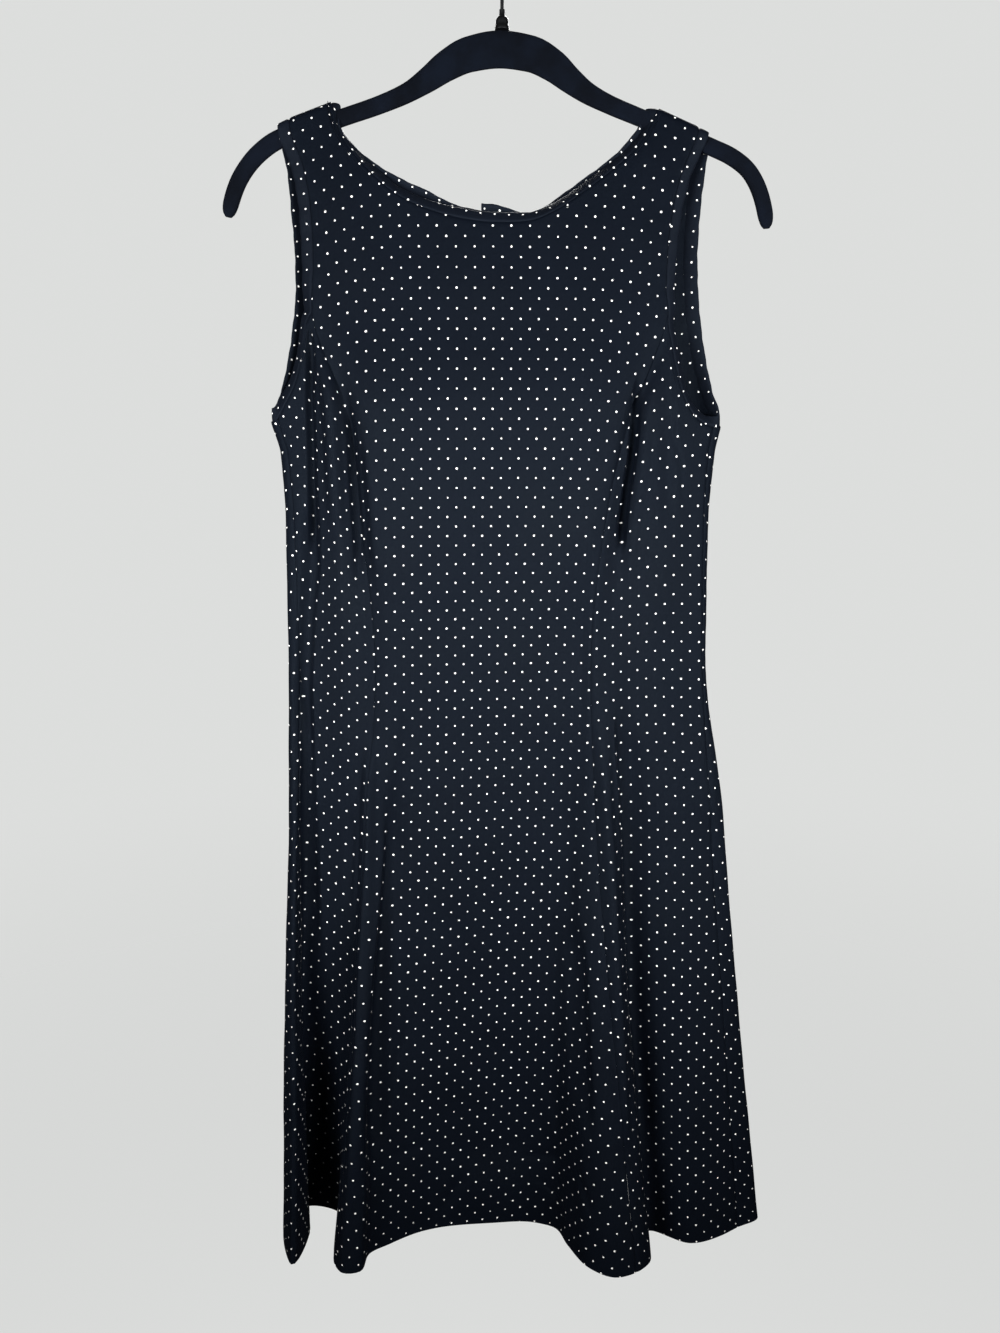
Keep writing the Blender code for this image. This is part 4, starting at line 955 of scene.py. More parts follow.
@dataclass
class Tailor:
    """Makes fine cloth from the nets, with creases, seams and hem."""

    drape: Drape  # the cloth's form
    creases: tuple[Crease, ...]  # ridges and troughs pressed into it
    pitch: float = 4.2  # widest space between points, mm
    side_pitch: float = 2.7  # the same on the narrow side panels
    wall: float = 1.2  # one layer of knit
    hem_wall: float = 2.1  # the same where the hem is turned up
    hem_depth: float = 38.0  # height of the turned hem
    shoulder_wall: float = 2.2  # thickness at the shoulder seams' turnings
    shoulder_reach: float = 9.0  # how far those turnings run
    seam_gap: float = 0.16  # between two pieces that are sewn together
    groove: float = 0.75  # how far a sewn edge sinks
    groove_reach: float = 3.2  # how far from the edge it starts to sink
    pucker: float = 0.22  # height of the small waves beside a seam
    pucker_reach: float = 16.0  # how far they run from it
    pucker_pitch: float = 17.0  # length of one of them
    # below a top edge, the slow unevenness sets in over this length
    calm_reach: float = 40.0
    calm_pucker: float = 25.0  # the same of the waves beside a seam

    @staticmethod
    def steps(spaces: Array, pitch: float, close_start: bool) -> Array:
        """Fine positions along a run of coarse spaces, drawn close to its last edge.

        Args:
            spaces: widest length of each coarse space, mm.
            pitch: widest space between points, mm.
            close_start: whether they are drawn close to the first edge too.

        Returns:
            Positions, counting coarse spaces from 0.
        """
        result = [0.0]
        for k, space in enumerate(spaces):
            count = max(1, math.ceil(space / pitch))
            near = [mark / space for mark in EDGE_STEPS if mark < 0.8 * space / count]
            inner = [k + (n + 1) / count for n in range(count)]
            if close_start and k == 0:
                inner = near + inner
            if k == len(spaces) - 1:
                inner = sorted(inner + [k + 1 - step for step in near])
            result += inner
        return np.array(result)

    def hem_steps(self, space: float) -> list[float]:
        """Extra row positions near the hem and its turned edge, in the first space."""
        marks = [*EDGE_STEPS, *(self.hem_depth + off for off in HEM_STEPS)]
        return [mark / space for mark in marks if mark < space]

    def fine_net(self, net: Net) -> Net:
        """The same net with many more knots, read off smooth curves through it.

        Args:
            net: the coarse net.

        Returns:
            The fine one.
        """
        face = self.drape.face(net.places.ravel(), net.drops.ravel())
        points = face.reshape(*net.places.shape, 3)
        down = np.linalg.norm(np.diff(points, axis=0), axis=2).max(axis=1)
        over = np.linalg.norm(np.diff(points, axis=1), axis=2).max(axis=0)
        pitch = self.side_pitch if "side" in net.name else self.pitch
        rows = self.steps(down, self.pitch, False)
        rows = np.unique(np.round(np.concatenate([rows, self.hem_steps(down[0])]), 5))
        columns = self.steps(over, pitch, True)
        old_rows, old_columns = (np.arange(n, dtype=float) for n in net.places.shape)

        def refine(values: Array) -> Array:
            """Read one of the net's grids at the fine rows and columns."""
            wide = smooth_curve(old_columns, values, columns)
            return smooth_curve(old_rows, wide.T, rows).T

        places, drops, across = (refine(v) for v in (net.places, net.drops, net.across))
        high = rows > net.upper_row
        if high.any():
            shape = places[high].shape
            places[high] = self.drape.find(*net.layer, across[high].ravel(),
                                           drops[high].ravel()).reshape(shape)

        def fine(spots: Array, coarse: float) -> int:
            """Number of the fine row or column at a coarse one."""
            return int(np.argmin(np.abs(spots - coarse)))

        top = [(role, fine(columns, a), fine(columns, b)) for role, a, b in net.top]
        return Net(net.name, places, drops, across, net.layer, fine(rows, net.upper_row),
                   fine(rows, net.arm_row), top)

    def crease_lift(self, net: Net, points: Array) -> Array:
        """How far the creases lift each knot of a net.

        Args:
            net: the net.
            points: its points.

        Returns:
            Millimetres out of the cloth.
        """
        front = (net.places >= self.drape.front[0]) & (net.places <= self.drape.front[1])
        lift = np.zeros(net.places.shape)
        for crease in self.creases:
            mask = front if crease.layer is Layer.FRONT else ~front
            if mask.any():
                lift += np.where(mask, crease.lift(points[..., 0], net.drops), 0.0)
        return lift

    def ripple(self, points: Array) -> Array:
        """Slow unevenness of hanging cloth, the same in each piece at a seam.

        Args:
            points: grid of points.

        Returns:
            Millimetres out of the cloth.
        """
        x, y, z = points[..., 0], points[..., 1], points[..., 2]
        waves = 0.0
        for turn, pitch, size in RIPPLES:
            c, s = math.cos(math.radians(turn)), math.sin(math.radians(turn))
            waves = waves + size * np.sin((x * c + z * s) * 2.0 * math.pi / pitch + 0.02 * y
                                          + turn)
        return waves

    @staticmethod
    def edge_distance(points: Array) -> tuple[Array, Array]:
        """How far each point of a grid is from its edges, along the cloth.

        Args:
            points: the grid.

        Returns:
            Distance to the nearer side, and to the top edge.
        """
        over = np.linalg.norm(np.diff(points, axis=1), axis=2)
        left = np.concatenate([np.zeros((len(points), 1)), np.cumsum(over, axis=1)], axis=1)
        side = np.minimum(left, left[:, -1:] - left)
        down = np.linalg.norm(np.diff(points, axis=0), axis=2)
        rise = np.concatenate([np.zeros((1, points.shape[1])), np.cumsum(down, axis=0)])
        return side, rise[-1:] - rise

    def sew(self, net: Net, grain: Grain) -> Cloth:
        """Lay a fine net on the drape and work its edges.

        Args:
            net: the coarse net.
            grain: how the print lies on the piece.

        Returns:
            The cloth.
        """
        fine = self.fine_net(net)
        q, d = fine.places.ravel(), fine.drops.ravel()
        shape = fine.places.shape
        points = self.drape.face(q, d).reshape(*shape, 3)
        normals = self.drape.normal(q, d).reshape(*shape, 3)
        side, top = self.edge_distance(points)
        calm = ease(top / self.calm_reach)
        lift = self.crease_lift(fine, points) + self.ripple(points) * calm
        beside = np.clip(1.0 - side / self.pucker_reach, 0.0, 1.0) ** 2
        beside *= ease(top / self.calm_pucker)
        run = fine.drops / self.pucker_pitch
        lift += self.pucker * beside * np.sin(2.0 * math.pi * run
                                              + 1.7 * np.sin(run * 1.3 + side * 0.1))
        sink = np.clip(1.0 - side / self.groove_reach, 0.0, 1.0) ** 2 * self.groove
        sink += np.clip(1.0 - top / self.groove_reach, 0.0, 1.0) ** 2 * self.groove
        points = points + normals * (lift - sink)[..., None]
        normals = self.grid_normals(points, normals)

        above_hem = HEM_DROP - fine.drops
        hem = ease(0.5 - (above_hem - self.hem_depth) / 1.6)
        past = fine.drops - self.drape.seam_drop(points[..., 0].ravel()).reshape(shape)
        turning = ease(1.0 - past / self.shoulder_reach)
        walls = self.wall + (self.hem_wall - self.wall) * hem \
            + (self.shoulder_wall - self.wall) * turning
        points = self.draw_in(points, normals)
        return Cloth(fine, points, normals, walls, self.flat_grain(fine, grain))

    @staticmethod
    def grid_normals(points: Array, guide: Array) -> Array:
        """Unit vectors out of a grid of points.

        Args:
            points: the grid.
            guide: vectors on the side they point to.

        Returns:
            The vectors.
        """
        over = np.gradient(points, axis=1)
        rise = np.gradient(points, axis=0)
        normals = unit(np.cross(over, rise))
        flip = np.sign(np.sum(normals * guide, axis=2, keepdims=True))
        return normals * np.where(flip == 0.0, 1.0, flip)

    def flat_grain(self, fine: Net, grain: Grain) -> Array:
        """Where each knot lies on the flat cloth.

        Args:
            fine: the net.
            grain: how the print lies on the piece.

        Returns:
            Coordinates across and down, mm.
        """
        drape = self.drape
        q, d = fine.places, fine.drops
        level = np.maximum(d, drape.levels[0])
        across = drape.girth(q, level) - drape.girth(np.full(q.shape, grain.place), level)
        down = drape.fall(grain.place % drape.count, d)
        return grain.stretched(np.stack([across, down], axis=2))

    def draw_in(self, points: Array, normals: Array) -> Array:
        """Move a grid's rim inwards along the cloth, so sewn pieces stand apart.

        Args:
            points: the grid.
            normals: unit vectors out of it.

        Returns:
            The moved grid.
        """
        rim = rim_order(*points.shape[:2])
        rows, columns = np.array(rim).T
        off = mitre(points[rows, columns], normals[rows, columns], True)
        moved = points.copy()
        moved[rows, columns] += self.seam_gap / 2.0 * off
        return moved


def rim_order(rows: int, columns: int) -> list[tuple[int, int]]:
    """Grid places of the rim, anticlockwise as seen from outside.

    Args:
        rows: rows of the grid.
        columns: its columns.

    Returns:
        (row, column) pairs.
    """
    rim = [(0, c) for c in range(columns)]
    rim += [(r, columns - 1) for r in range(1, rows)]
    rim += [(rows - 1, c) for c in range(columns - 2, -1, -1)]
    rim += [(r, 0) for r in range(rows - 2, 0, -1)]
    return rim


def mitre(where: Array, out: Array, closed: bool) -> Array:
    """Vectors across a line on the cloth that keep an even distance from it.

    Args:
        where: the line's points.
        out: unit vectors out of the cloth there.
        closed: whether the line is a ring.

    Returns:
        Vectors to the line's left as seen from outside, one unit from both its
        neighbouring stretches.
    """
    ahead = unit(np.roll(where, -1, axis=0) - where)
    behind = np.roll(ahead, 1, axis=0)
    if not closed:
        ahead[-1] = ahead[-2]
        behind[0] = ahead[0]
        behind[-1] = ahead[-1]
    side_a = unit(np.cross(out, behind))
    side_b = unit(np.cross(out, ahead))
    spread = 1.0 + np.sum(side_a * side_b, axis=1, keepdims=True)
    return (side_a + side_b) / np.maximum(spread, 0.5)


# ==== meshes
def in_scene(name: str, data: bpy.types.ID) -> Object:
    """Put something in the scene.

    Args:
        name: the object's name.
        data: its mesh, lamp or lens.

    Returns:
        The object.
    """
    made = bpy.data.objects.new(name, data)
    bpy.context.scene.collection.objects.link(made)
    return made


@dataclass
class MeshPart:
    """Points, faces and flat coordinates of one piece's mesh, in millimetres."""

    points: Array  # the corners
    faces: list[tuple[int, ...]]  # corner numbers of each face
    grain: Array  # flat coordinates of each corner
    ring: int = 0  # points of a ring, where the last faces join the last ring to the first
    whole: float = 0.0  # length round such a closed run

    def build(self, name: str, sharp_angle: float = 50.0) -> Object:
        """Make the piece's object, its faces turned outwards.

        Args:
            name: the piece's name.
            sharp_angle: edges that turn more than this are drawn sharp, degrees.

        Returns:
            The object, in the scene.
        """
        where = np.asarray(self.points, float) * MM
        mesh = bpy.data.meshes.new(name)
        mesh.from_pydata(where.tolist(), [], [list(face) for face in self.faces])
        mesh.validate()
        mesh.update()
        solid = bmesh.new()
        solid.from_mesh(mesh)
        if solid.calc_volume(signed=True) < 0.0:
            mesh.flip_normals()
        solid.free()
        layer = mesh.uv_layers.new(name=GRAIN_MAP)
        corners = np.empty(len(mesh.loops), dtype=np.int32)
        mesh.loops.foreach_get("vertex_index", corners)
        flat = np.asarray(self.grain, float)[corners]
        if self.ring:
            closing = flat[-4 * self.ring:]
            closing[corners[-4 * self.ring:] < self.ring, 0] += self.whole
        layer.data.foreach_set("uv", (flat * MM).astype(np.float32).ravel())
        mesh.polygons.foreach_set("use_smooth", [True] * len(mesh.polygons))
        mesh.set_sharp_from_angle(angle=math.radians(sharp_angle))
        return in_scene(name, mesh)


def shell(cloth: Cloth, round_hem: float = 0.35) -> MeshPart:
    """Closed wall of a piece of cloth: outer face, inner face and a rounded rim.

    Args:
        cloth: the piece.
        round_hem: how far the rim's middle stands out at the hem, mm.

    Returns:
        The mesh.
    """
    outer = cloth.points
    inner = outer - cloth.normals * cloth.walls[..., None]
    rows, columns = outer.shape[:2]
    behind = rows * columns
    rim = rim_order(rows, columns)
    rim_rows, rim_columns = np.array(rim).T
    edge, far = outer[rim_rows, rim_columns], inner[rim_rows, rim_columns]
    off = mitre(edge, cloth.normals[rim_rows, rim_columns], True)
    middle = (edge + far) / 2.0 - off * np.where(rim_rows == 0, round_hem, 0.0)[:, None]
    flat = cloth.grain.reshape(-1, 2)
    points = np.concatenate([outer.reshape(-1, 3), inner.reshape(-1, 3), middle])
    grain = np.concatenate([flat, flat, cloth.grain[rim_rows, rim_columns]])

    index = np.arange(behind).reshape(rows, columns)
    quads = np.stack([index[:-1, :-1], index[:-1, 1:], index[1:, 1:], index[1:, :-1]],
                     axis=-1).reshape(-1, 4)
    faces = [tuple(q) for q in quads.tolist()]
    faces += [tuple(q) for q in (quads[:, ::-1] + behind).tolist()]
    line = [int(index[r, c]) for r, c in rim]
    for k, (a, b) in enumerate(zip(line, line[1:] + line[:1])):
        m, n = 2 * behind + k, 2 * behind + (k + 1) % len(line)
        faces.append((b, a, m, n))
        faces.append((n, m, behind + a, behind + b))
    return MeshPart(points, faces, grain)


def lofted(rings: Array, grain: Array | None = None, whole: float = 0.0) -> MeshPart:
    """Skin over rings of points.

    Args:
        rings: points, shape (rings, points of a ring, 3).
        grain: flat coordinates of the same points; lengths along and round if None.
        whole: length round, where the last ring joins the first one.

    Returns:
        The mesh, with flat caps if it isn't closed.
    """
    count, ring = rings.shape[:2]
    closed = whole > 0.0
    if grain is None:
        middle = rings.mean(axis=1)
        along = run_length(middle)
        over = np.linalg.norm(np.diff(rings, axis=1, append=rings[:, :1]), axis=2)
        around = np.cumsum(over, axis=1) - over
        grain = np.stack([np.repeat(along[:, None], ring, axis=1), around], axis=2)
    faces: list[tuple[int, ...]] = []
    for i in range(count if closed else count - 1):
        here, there = i * ring, (i + 1) % count * ring
        for k in range(ring):
            nxt = (k + 1) % ring
            faces.append((here + k, here + nxt, there + nxt, there + k))
    if not closed:
        faces.append(tuple(reversed(range(ring))))
        faces.append(tuple((count - 1) * ring + k for k in range(ring)))
    return MeshPart(rings.reshape(-1, 3), faces, grain.reshape(-1, 2),
                    ring if closed else 0, whole)


# ==== bound edges
def join_lines(*runs: Array) -> Array:
    """Chain runs of points and normals, leaving out points that repeat.

    Args:
        *runs: lines as Cloth.line gives them.

    Returns:
        One line of the same kind.
    """
    chain: list[Array] = []
    for spot in np.concatenate(runs):
        if not chain or np.linalg.norm(chain[-1][0] - spot[0]) >= JOIN_SPACE:
            chain.append(spot)
    return np.array(chain)


@dataclass
class BoundEdge:
    """A bias-cut strip of the knit, folded double and sewn round an opening."""

    width: float  # how far it reaches from the seam, mm
    dot_shift: float  # offset of the dots along it
    dot_line: Rows  # (length along the band, distance from the sewn edge) of its row of dots
    rise: float = 0.7  # how far it stands out of the panel
    sink: float = 1.5  # how far it reaches in
    flap: float = 3.0  # how far its turning reaches under the panel
    gap: float = 0.3  # from the seam line to its sewn edge
    pitch: float = 3.0  # space between points along it
    smoothing: float = 26.0  # length over which its direction evens out, mm
    wave: float = 0.28  # unevenness of the folded edge
    wave_pitch: float = 23.0  # length of one wave
    end_inset: float = 0.12  # how far each cut end stays back from the middle of the back
    perk: float = 0.0  # how far its folded edge stands up on top of each shoulder
    perk_reach: float = 9.0  # drop below the top over which that dies away

    def profile(self) -> Array:
        """The band's section.

        Returns:
            Distance from the sewn edge and height above the panel's face.
        """
        w, top, low, flap = self.width, self.rise, -self.sink, -self.flap
        return np.array([
            (0.0, top - 1.6), (0.3, top - 0.75), (1.0, top - 0.2), (2.2, top),
            (0.5 * w, top + 0.05), (0.75 * w, top), (w - 1.2, top - 0.15),
            (w - 0.45, top - 0.45), (w - 0.05, top - 0.95), (w - 0.1, low + 0.55),
            (w - 0.7, low + 0.1), (0.7 * w, low), (0.35 * w, low), (0.3, low),
            (flap, low - 0.1), (flap, low + 0.1), (-0.1, low + 0.15)])

    def even(self, line: Array, closed: bool) -> tuple[Array, Array]:
        """Points and outward directions at an even pitch along a line.

        Args:
            line: points and normals, as Cloth.line gives them.
            closed: whether it is a ring.

        Returns:
            The points, and the directions there.
        """
        where, out = np.moveaxis(np.concatenate([line, line[:1]]) if closed else line, 1, 0)
        reach = run_length(where)
        count = int(round(reach[-1] / self.pitch))
        spots = np.linspace(0.0, reach[-1], count + 1)
        points = smooth_curve(reach, where.T, spots).T
        normals = unit(np.column_stack([np.interp(spots, reach, out[:, k])
                                        for k in range(3)]))
        return (points[:-1], normals[:-1]) if closed else (points, normals)

    @staticmethod
    def evened(vectors: Array, weight: float, passes: int, closed: bool) -> Array:
        """Unit vectors mixed with their neighbours again and again.

        Args:
            vectors: the vectors along a line.
            weight: share that each keeps of itself.
            passes: how often.
            closed: whether the line is a ring; if not, its ends are kept.

        Returns:
            The evened vectors.
        """
        for _ in range(passes):
            mixed = unit(np.roll(vectors, 1, axis=0) + weight * vectors
                         + np.roll(vectors, -1, axis=0))
            vectors = mixed if closed else np.concatenate([vectors[:1], mixed[1:-1],
                                                           vectors[-1:]])
        return vectors

    def mesh(self, line: Array, ends: Sequence[Array] = ()) -> MeshPart:
        """Sweep the section along the line it is sewn to.

        Args:
            line: the seam line, with the band on its left as seen from outside.
            ends: the directions its first and last ends are cut in; a ring has none.

        Returns:
            The mesh.
        """
        closed = not len(ends)
        where, out = self.even(line, closed)
        across = mitre(where, out, closed)
        if not closed:
            for end, inner, cut in ((0, 1, ends[0]), (-1, -2, ends[1])):
                across[end] = cut / np.dot(cut, across[end])
                where[end] += unit(where[inner] - where[end]) * self.end_inset
        turn = unit(across)
        turn = self.evened(turn, 2.0, int((self.smoothing / self.pitch) ** 2 / 2.0), closed)
        out = self.evened(out, 6.0, 3, closed)
        reach = run_length(where)
        phase = reach / self.wave_pitch * 2.0 * math.pi
        whole = 0.0
        if closed:
            whole = float(reach[-1] + np.linalg.norm(where[0] - where[-1]))
            turns = max(1, round(whole / self.wave_pitch))
            phase = reach / whole * 2.0 * math.pi * turns
        swell = self.wave * (0.6 * np.sin(phase) + 0.4 * np.sin(2.0 * phase + 1.1))
        profile = self.profile()
        share = np.maximum(profile[:, 0] / self.width, 0.0)
        rings = (where + across * self.gap)[:, None, :] \
            + turn[:, None, :] * (profile[:, 0] + swell[:, None] * share ** 3)[..., None] \
            + out[:, None, :] * (profile[:, 1] + 0.4 * swell[:, None] * share)[..., None]
        low = (where[:, 2].max() - where[:, 2]) / self.perk_reach
        top = np.clip(1.0 - low, 0.0, 1.0) ** 1.5
        rings[..., 2] += self.perk * top[:, None] * np.minimum(share, 0.7)
        over = np.where(profile[:, 1] > -self.sink + 0.5, profile[:, 0],
                        2.0 * self.width - profile[:, 0])
        row = np.interp(reach, *np.array(self.dot_line).T)
        grain = np.stack([np.repeat(reach[:, None] + self.dot_shift, len(profile), axis=1),
                          over[None, :] - row[:, None]], axis=2)
        return lofted(rings, grain, whole)


def dressed(node: str, piece: Object, finish: Material, slot: Slot) -> Object:
    """Give a piece its finish and let it ride and stand for its node.

    Args:
        node: the solid that it stands for.
        piece: the piece.
        finish: its material.
        slot: the record's slot of that material; not used.

    Returns:
        The same piece.
    """
    piece.data.materials.append(finish)
    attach(piece, BODY)
    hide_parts(node)
    return piece


# ==== the dress
@dataclass
class Dress:
    """The five cut pieces and three bands of the dress."""

    creases: tuple[Crease, ...]  # ridges and troughs pressed into the cloth
    neck_width: float = 10.0  # width of the neck's band, mm
    neck_perk: float = 7.0  # how far it stands up on top of each shoulder
    left_width: float = 11.0  # width of the left armhole's band
    right_width: float = 9.0  # width of the right one's
    # (width, length, area) that each piece is cut to, metres
    flat_sizes: dict[str, tuple[float, float, float]] = field(default_factory=dict)

    def sew(self) -> dict[str, Cloth]:
        """Cut and lay the five body pieces.

        Returns:
            The cloths by name.
        """
        drape = Drape()
        tailor = Tailor(drape, self.creases)
        return {name: tailor.sew(net, GRAINS[name])
                for name, net in Pattern(drape).nets().items()}

    def bands(self, cloths: dict[str, Cloth]) -> dict[str, MeshPart]:
        """Sew the neck's and the armholes' bands along the cut edges.

        Args:
            cloths: the body pieces.

        Returns:
            The bands' meshes by name.
        """
        centre, left, right = (cloths[k] for k in ("front_centre", "back_left",
                                                   "back_right"))
        neck = join_lines(*(cloth.line("neck") for cloth in (left, centre, right)))
        arms = [join_lines(before.line(-1)[::-1], cloths[f"front_side_{side}"].line("arm"),
                           after.line(0))
                for side, before, after in (("left", left, centre),
                                            ("right", centre, right))]
        arms = [ring[:-1] if np.linalg.norm(ring[0, 0] - ring[-1, 0]) < JOIN_SPACE else ring
                for ring in arms]
        ends = [unit(left.points[-1, 0] - left.points[-4, 0]),
                unit(right.points[-1, -1] - right.points[-4, -1])]
        bands = {"neck_band": BoundEdge(self.neck_width, *NECK_DOTS, perk=self.neck_perk),
                 "armhole_band_left": BoundEdge(self.left_width, *ARM_DOTS_LEFT),
                 "armhole_band_right": BoundEdge(self.right_width, *ARM_DOTS_RIGHT)}
        lines = ((neck, ends), (arms[0],), (arms[1],))
        return {name: band.mesh(*line) for (name, band), line in zip(bands.items(), lines)}

    def build(self, knit: Material, band: Material) -> list[Object]:
        """Make and dress every piece of cloth.

        Args:
            knit: finish of the body pieces.
            band: finish of the bands, the same knit painted lighter as painted light.

        Returns:
            The pieces.
        """
        cloths = self.sew()
        parts = [(name, shell(cloth), knit, Slot.KNIT) for name, cloth in cloths.items()]
        parts += [(name, part, band, Slot.BAND_PAINTED_LIGHTER) for name, part in self.bands(cloths).items()]
        pieces = []
        for node, part, finish, slot in parts:
            piece = dressed(node, part.build(f"{node}_cloth"), finish, slot)
            width, length, area = self.flat_sizes[node]
            pieces.append(piece)
        return pieces


# ==== the hanger
@dataclass
class Hanger:
    """The slim hanger: a flocked bar, a turned collar and a wire hook."""

    thick: float = 6.0  # thickness of the bar, mm
    bar_ring: int = 24  # points round the bar
    bar_steps: int = 150  # rings along it
    hook_radius: float = 16.1  # inner radius of the hook
    wire_radius: float = 1.4  # radius of its wire
    wire_ring: int = 18  # points round the wire
    bend: float = 60.0  # degrees the wire leans out before it turns over the rail
    end: float = 196.0  # degrees on the circle where the wire is cut
    foot: float = 65.5  # drop of the wire's lower end, inside the collar
    collar_ring: int = 56  # points round the collar

    def bar(self) -> MeshPart:
        """Sweep the bar's rounded section from tip to tip.

        Returns:
            The mesh.
        """
        rows = np.array(HANGER_BAR, float)
        reach = run_length(rows[:, :2])
        spots = reach[-1] * (0.5 - 0.5 * np.cos(np.linspace(0.0, math.pi, self.bar_steps)))
        spots = 0.35 * spots + 0.65 * np.linspace(0.0, reach[-1], self.bar_steps)
        x, drop, tall = smooth_curve(reach, rows.T, spots)
        centres = np.column_stack([x, np.zeros(len(x)), -drop])
        along = unit(np.gradient(centres, axis=0))
        up = unit(np.cross(along, np.array([0.0, -1.0, 0.0])))
        up = np.where(up[:, 2:3] < 0.0, -up, up)
        near_tip = np.minimum(spots, reach[-1] - spots)
        thin = 0.55 + 0.45 * np.sqrt(np.clip(near_tip / 3.0, 0.0, 1.0))
        angle = ring_angles(self.bar_ring)
        y = np.sign(np.cos(angle)) * np.abs(np.cos(angle)) ** 0.7
        z = np.sign(np.sin(angle)) * np.abs(np.sin(angle)) ** 0.8
        rings = centres[:, None, :] \
            + np.array([0.0, 1.0, 0.0]) * (self.thick / 2.0 * thin[:, None] * y)[..., None] \
            + up[:, None, :] * (tall[:, None] / 2.0 * z)[..., None]
        return lofted(rings)

    def hook_path(self) -> Array:
        """Centre line of the wire, from its foot in the collar to the cut end.

        Returns:
            Its points.
        """
        radius = self.hook_radius + self.wire_radius
        middle = np.array([0.0, 0.0, -self.hook_radius])
        bend = math.radians(self.bend)
        start = middle[2] - 2.0 * radius * math.sin(bend)
        path = [np.array([0.0, 0.0, -self.foot]), np.array([0.0, 0.0, -self.foot + 4.0]),
                np.array([0.0, 0.0, start - 1.5])]
        for lean in np.linspace(0.0, bend, 13):
            path.append(np.array([radius * (1.0 - math.cos(lean)), 0.0,
                                  start + radius * math.sin(lean)]))
        shift = middle[0] + radius * math.cos(bend) - path[-1][0]
        for degrees in np.arange(-self.bend + 5.0, self.end + 0.1, 5.0):
            angle = math.radians(degrees)
            path.append(middle + radius * np.array([math.cos(angle), 0.0, math.sin(angle)])
                        - np.array([shift, 0.0, 0.0]))
        return np.array(path)

    def hook(self) -> MeshPart:
        """Sweep the wire hook, its cut end rounded over.

        Returns:
            The mesh.
        """
        path = self.hook_path()
        tip = path[-1]
        ahead = unit(path[-1] - path[-2])
        path = np.concatenate([path, [tip + ahead * 0.55, tip + ahead * 0.95,
                                      tip + ahead * 1.15]])
        size = np.ones(len(path))
        size[-4:] = (1.0, 0.9, 0.62, 0.25)
        along = unit(np.gradient(path, axis=0))
        side = np.array([0.0, 1.0, 0.0])
        up = unit(np.cross(along, side))
        angle = ring_angles(self.wire_ring)
        radius = self.wire_radius * size[:, None]
        rings = path[:, None, :] + side * (radius * np.cos(angle))[..., None] \
            + up[:, None, :] * (radius * np.sin(angle))[..., None]
        return lofted(rings)

    def collar(self) -> MeshPart:
        """Turn the collar between the bar and the wire, with a blind bore.

        Returns:
            The mesh.
        """
        radii, drops = np.array(COLLAR_PROFILE, float).T
        angle = ring_angles(self.collar_ring)
        rings = np.stack([radii[:, None] * np.cos(angle), radii[:, None] * np.sin(angle),
                          np.repeat(-drops[:, None], self.collar_ring, axis=1)], axis=2)
        return lofted(rings)

    def build(self, flock: Material, steel: Material) -> list[Object]:
        """Make and dress the bar, the collar and the hook.

        Args:
            flock: finish of the bar.
            steel: finish of the collar and the hook.

        Returns:
            The pieces.
        """
        return [dressed(node, part.build(name, 35.0), finish, slot)
                for node, part, name, finish, slot in (
                    ("hanger_bar", self.bar(), "hanger_bar_flocked", flock, Slot.FLOCK),
                    ("hanger_collar", self.collar(), "hanger_collar_turned", steel,
                     Slot.STEEL),
                    ("hanger_hook", self.hook(), "hanger_hook_wire", steel, Slot.STEEL))]


# ==== node groups
class Graph:
    """A node tree under construction: a material's own, or a shared group's."""

    def __init__(self, tree: NodeTree) -> None:
        """Start on a tree."""
        self.tree = tree

    def node(self, kind: str, inputs: dict | None = None, **settings: object) -> Node:
        """Add a node.

        Args:
            kind: the node's type, without its ShaderNode prefix.
            inputs: values or sockets for its inputs, by name or number.
            **settings: attributes to set on it.

        Returns:
            The node.
        """
        made = self.tree.nodes.new(f"ShaderNode{kind}")
        for name, value in settings.items():
            setattr(made, name, value)
        return self.fill(made, inputs or {})

    def fill(self, node: Node, inputs: dict) -> Node:
        """Set or link a node's inputs.

        Args:
            node: the node.
            inputs: values or sockets, by the input's name or number.

        Returns:
            The same node.
        """
        for key, value in inputs.items():
            if isinstance(value, NodeSocket):
                self.tree.links.new(value, node.inputs[key])
            else:
                node.inputs[key].default_value = value
        return node

    def math(self, operation: str, *values: object, clamp: bool = False) -> object:
        """One step of arithmetic; gives its output socket."""
        return self.node("Math", dict(enumerate(values)), operation=operation,
                         use_clamp=clamp).outputs[0]

    def ramp(self, value: object, low: object, high: object, to_low: float = 0.0,
             to_high: float = 1.0) -> object:
        """Carry a value smoothly from one range to another.

        Args:
            value: the value.
            low: one end of its range.
            high: the other end.
            to_low: result at the first end.
            to_high: result at the other.

        Returns:
            The result's socket.
        """
        return self.node("MapRange", {"Value": value, "From Min": low, "From Max": high,
                                      "To Min": to_low, "To Max": to_high},
                         interpolation_type="SMOOTHSTEP").outputs[0]

    def mix(self, factor: object, a: object, b: object) -> object:
        """Mix two colours.

        Args:
            factor: share of the second.
            a: first colour, as values or a socket.
            b: second colour.

        Returns:
            The colour's socket.
        """
        made = self.node("Mix", {"Factor": factor}, data_type="RGBA")
        shades = {key: value if isinstance(value, NodeSocket) else (*value, 1.0)
                  for key, value in ((6, a), (7, b))}
        return self.fill(made, shades).outputs[2]

    def group(self, tree: NodeTree, inputs: dict) -> object:
        """Place a shared group; gives its output sockets."""
        return self.node("Group", inputs, node_tree=tree).outputs


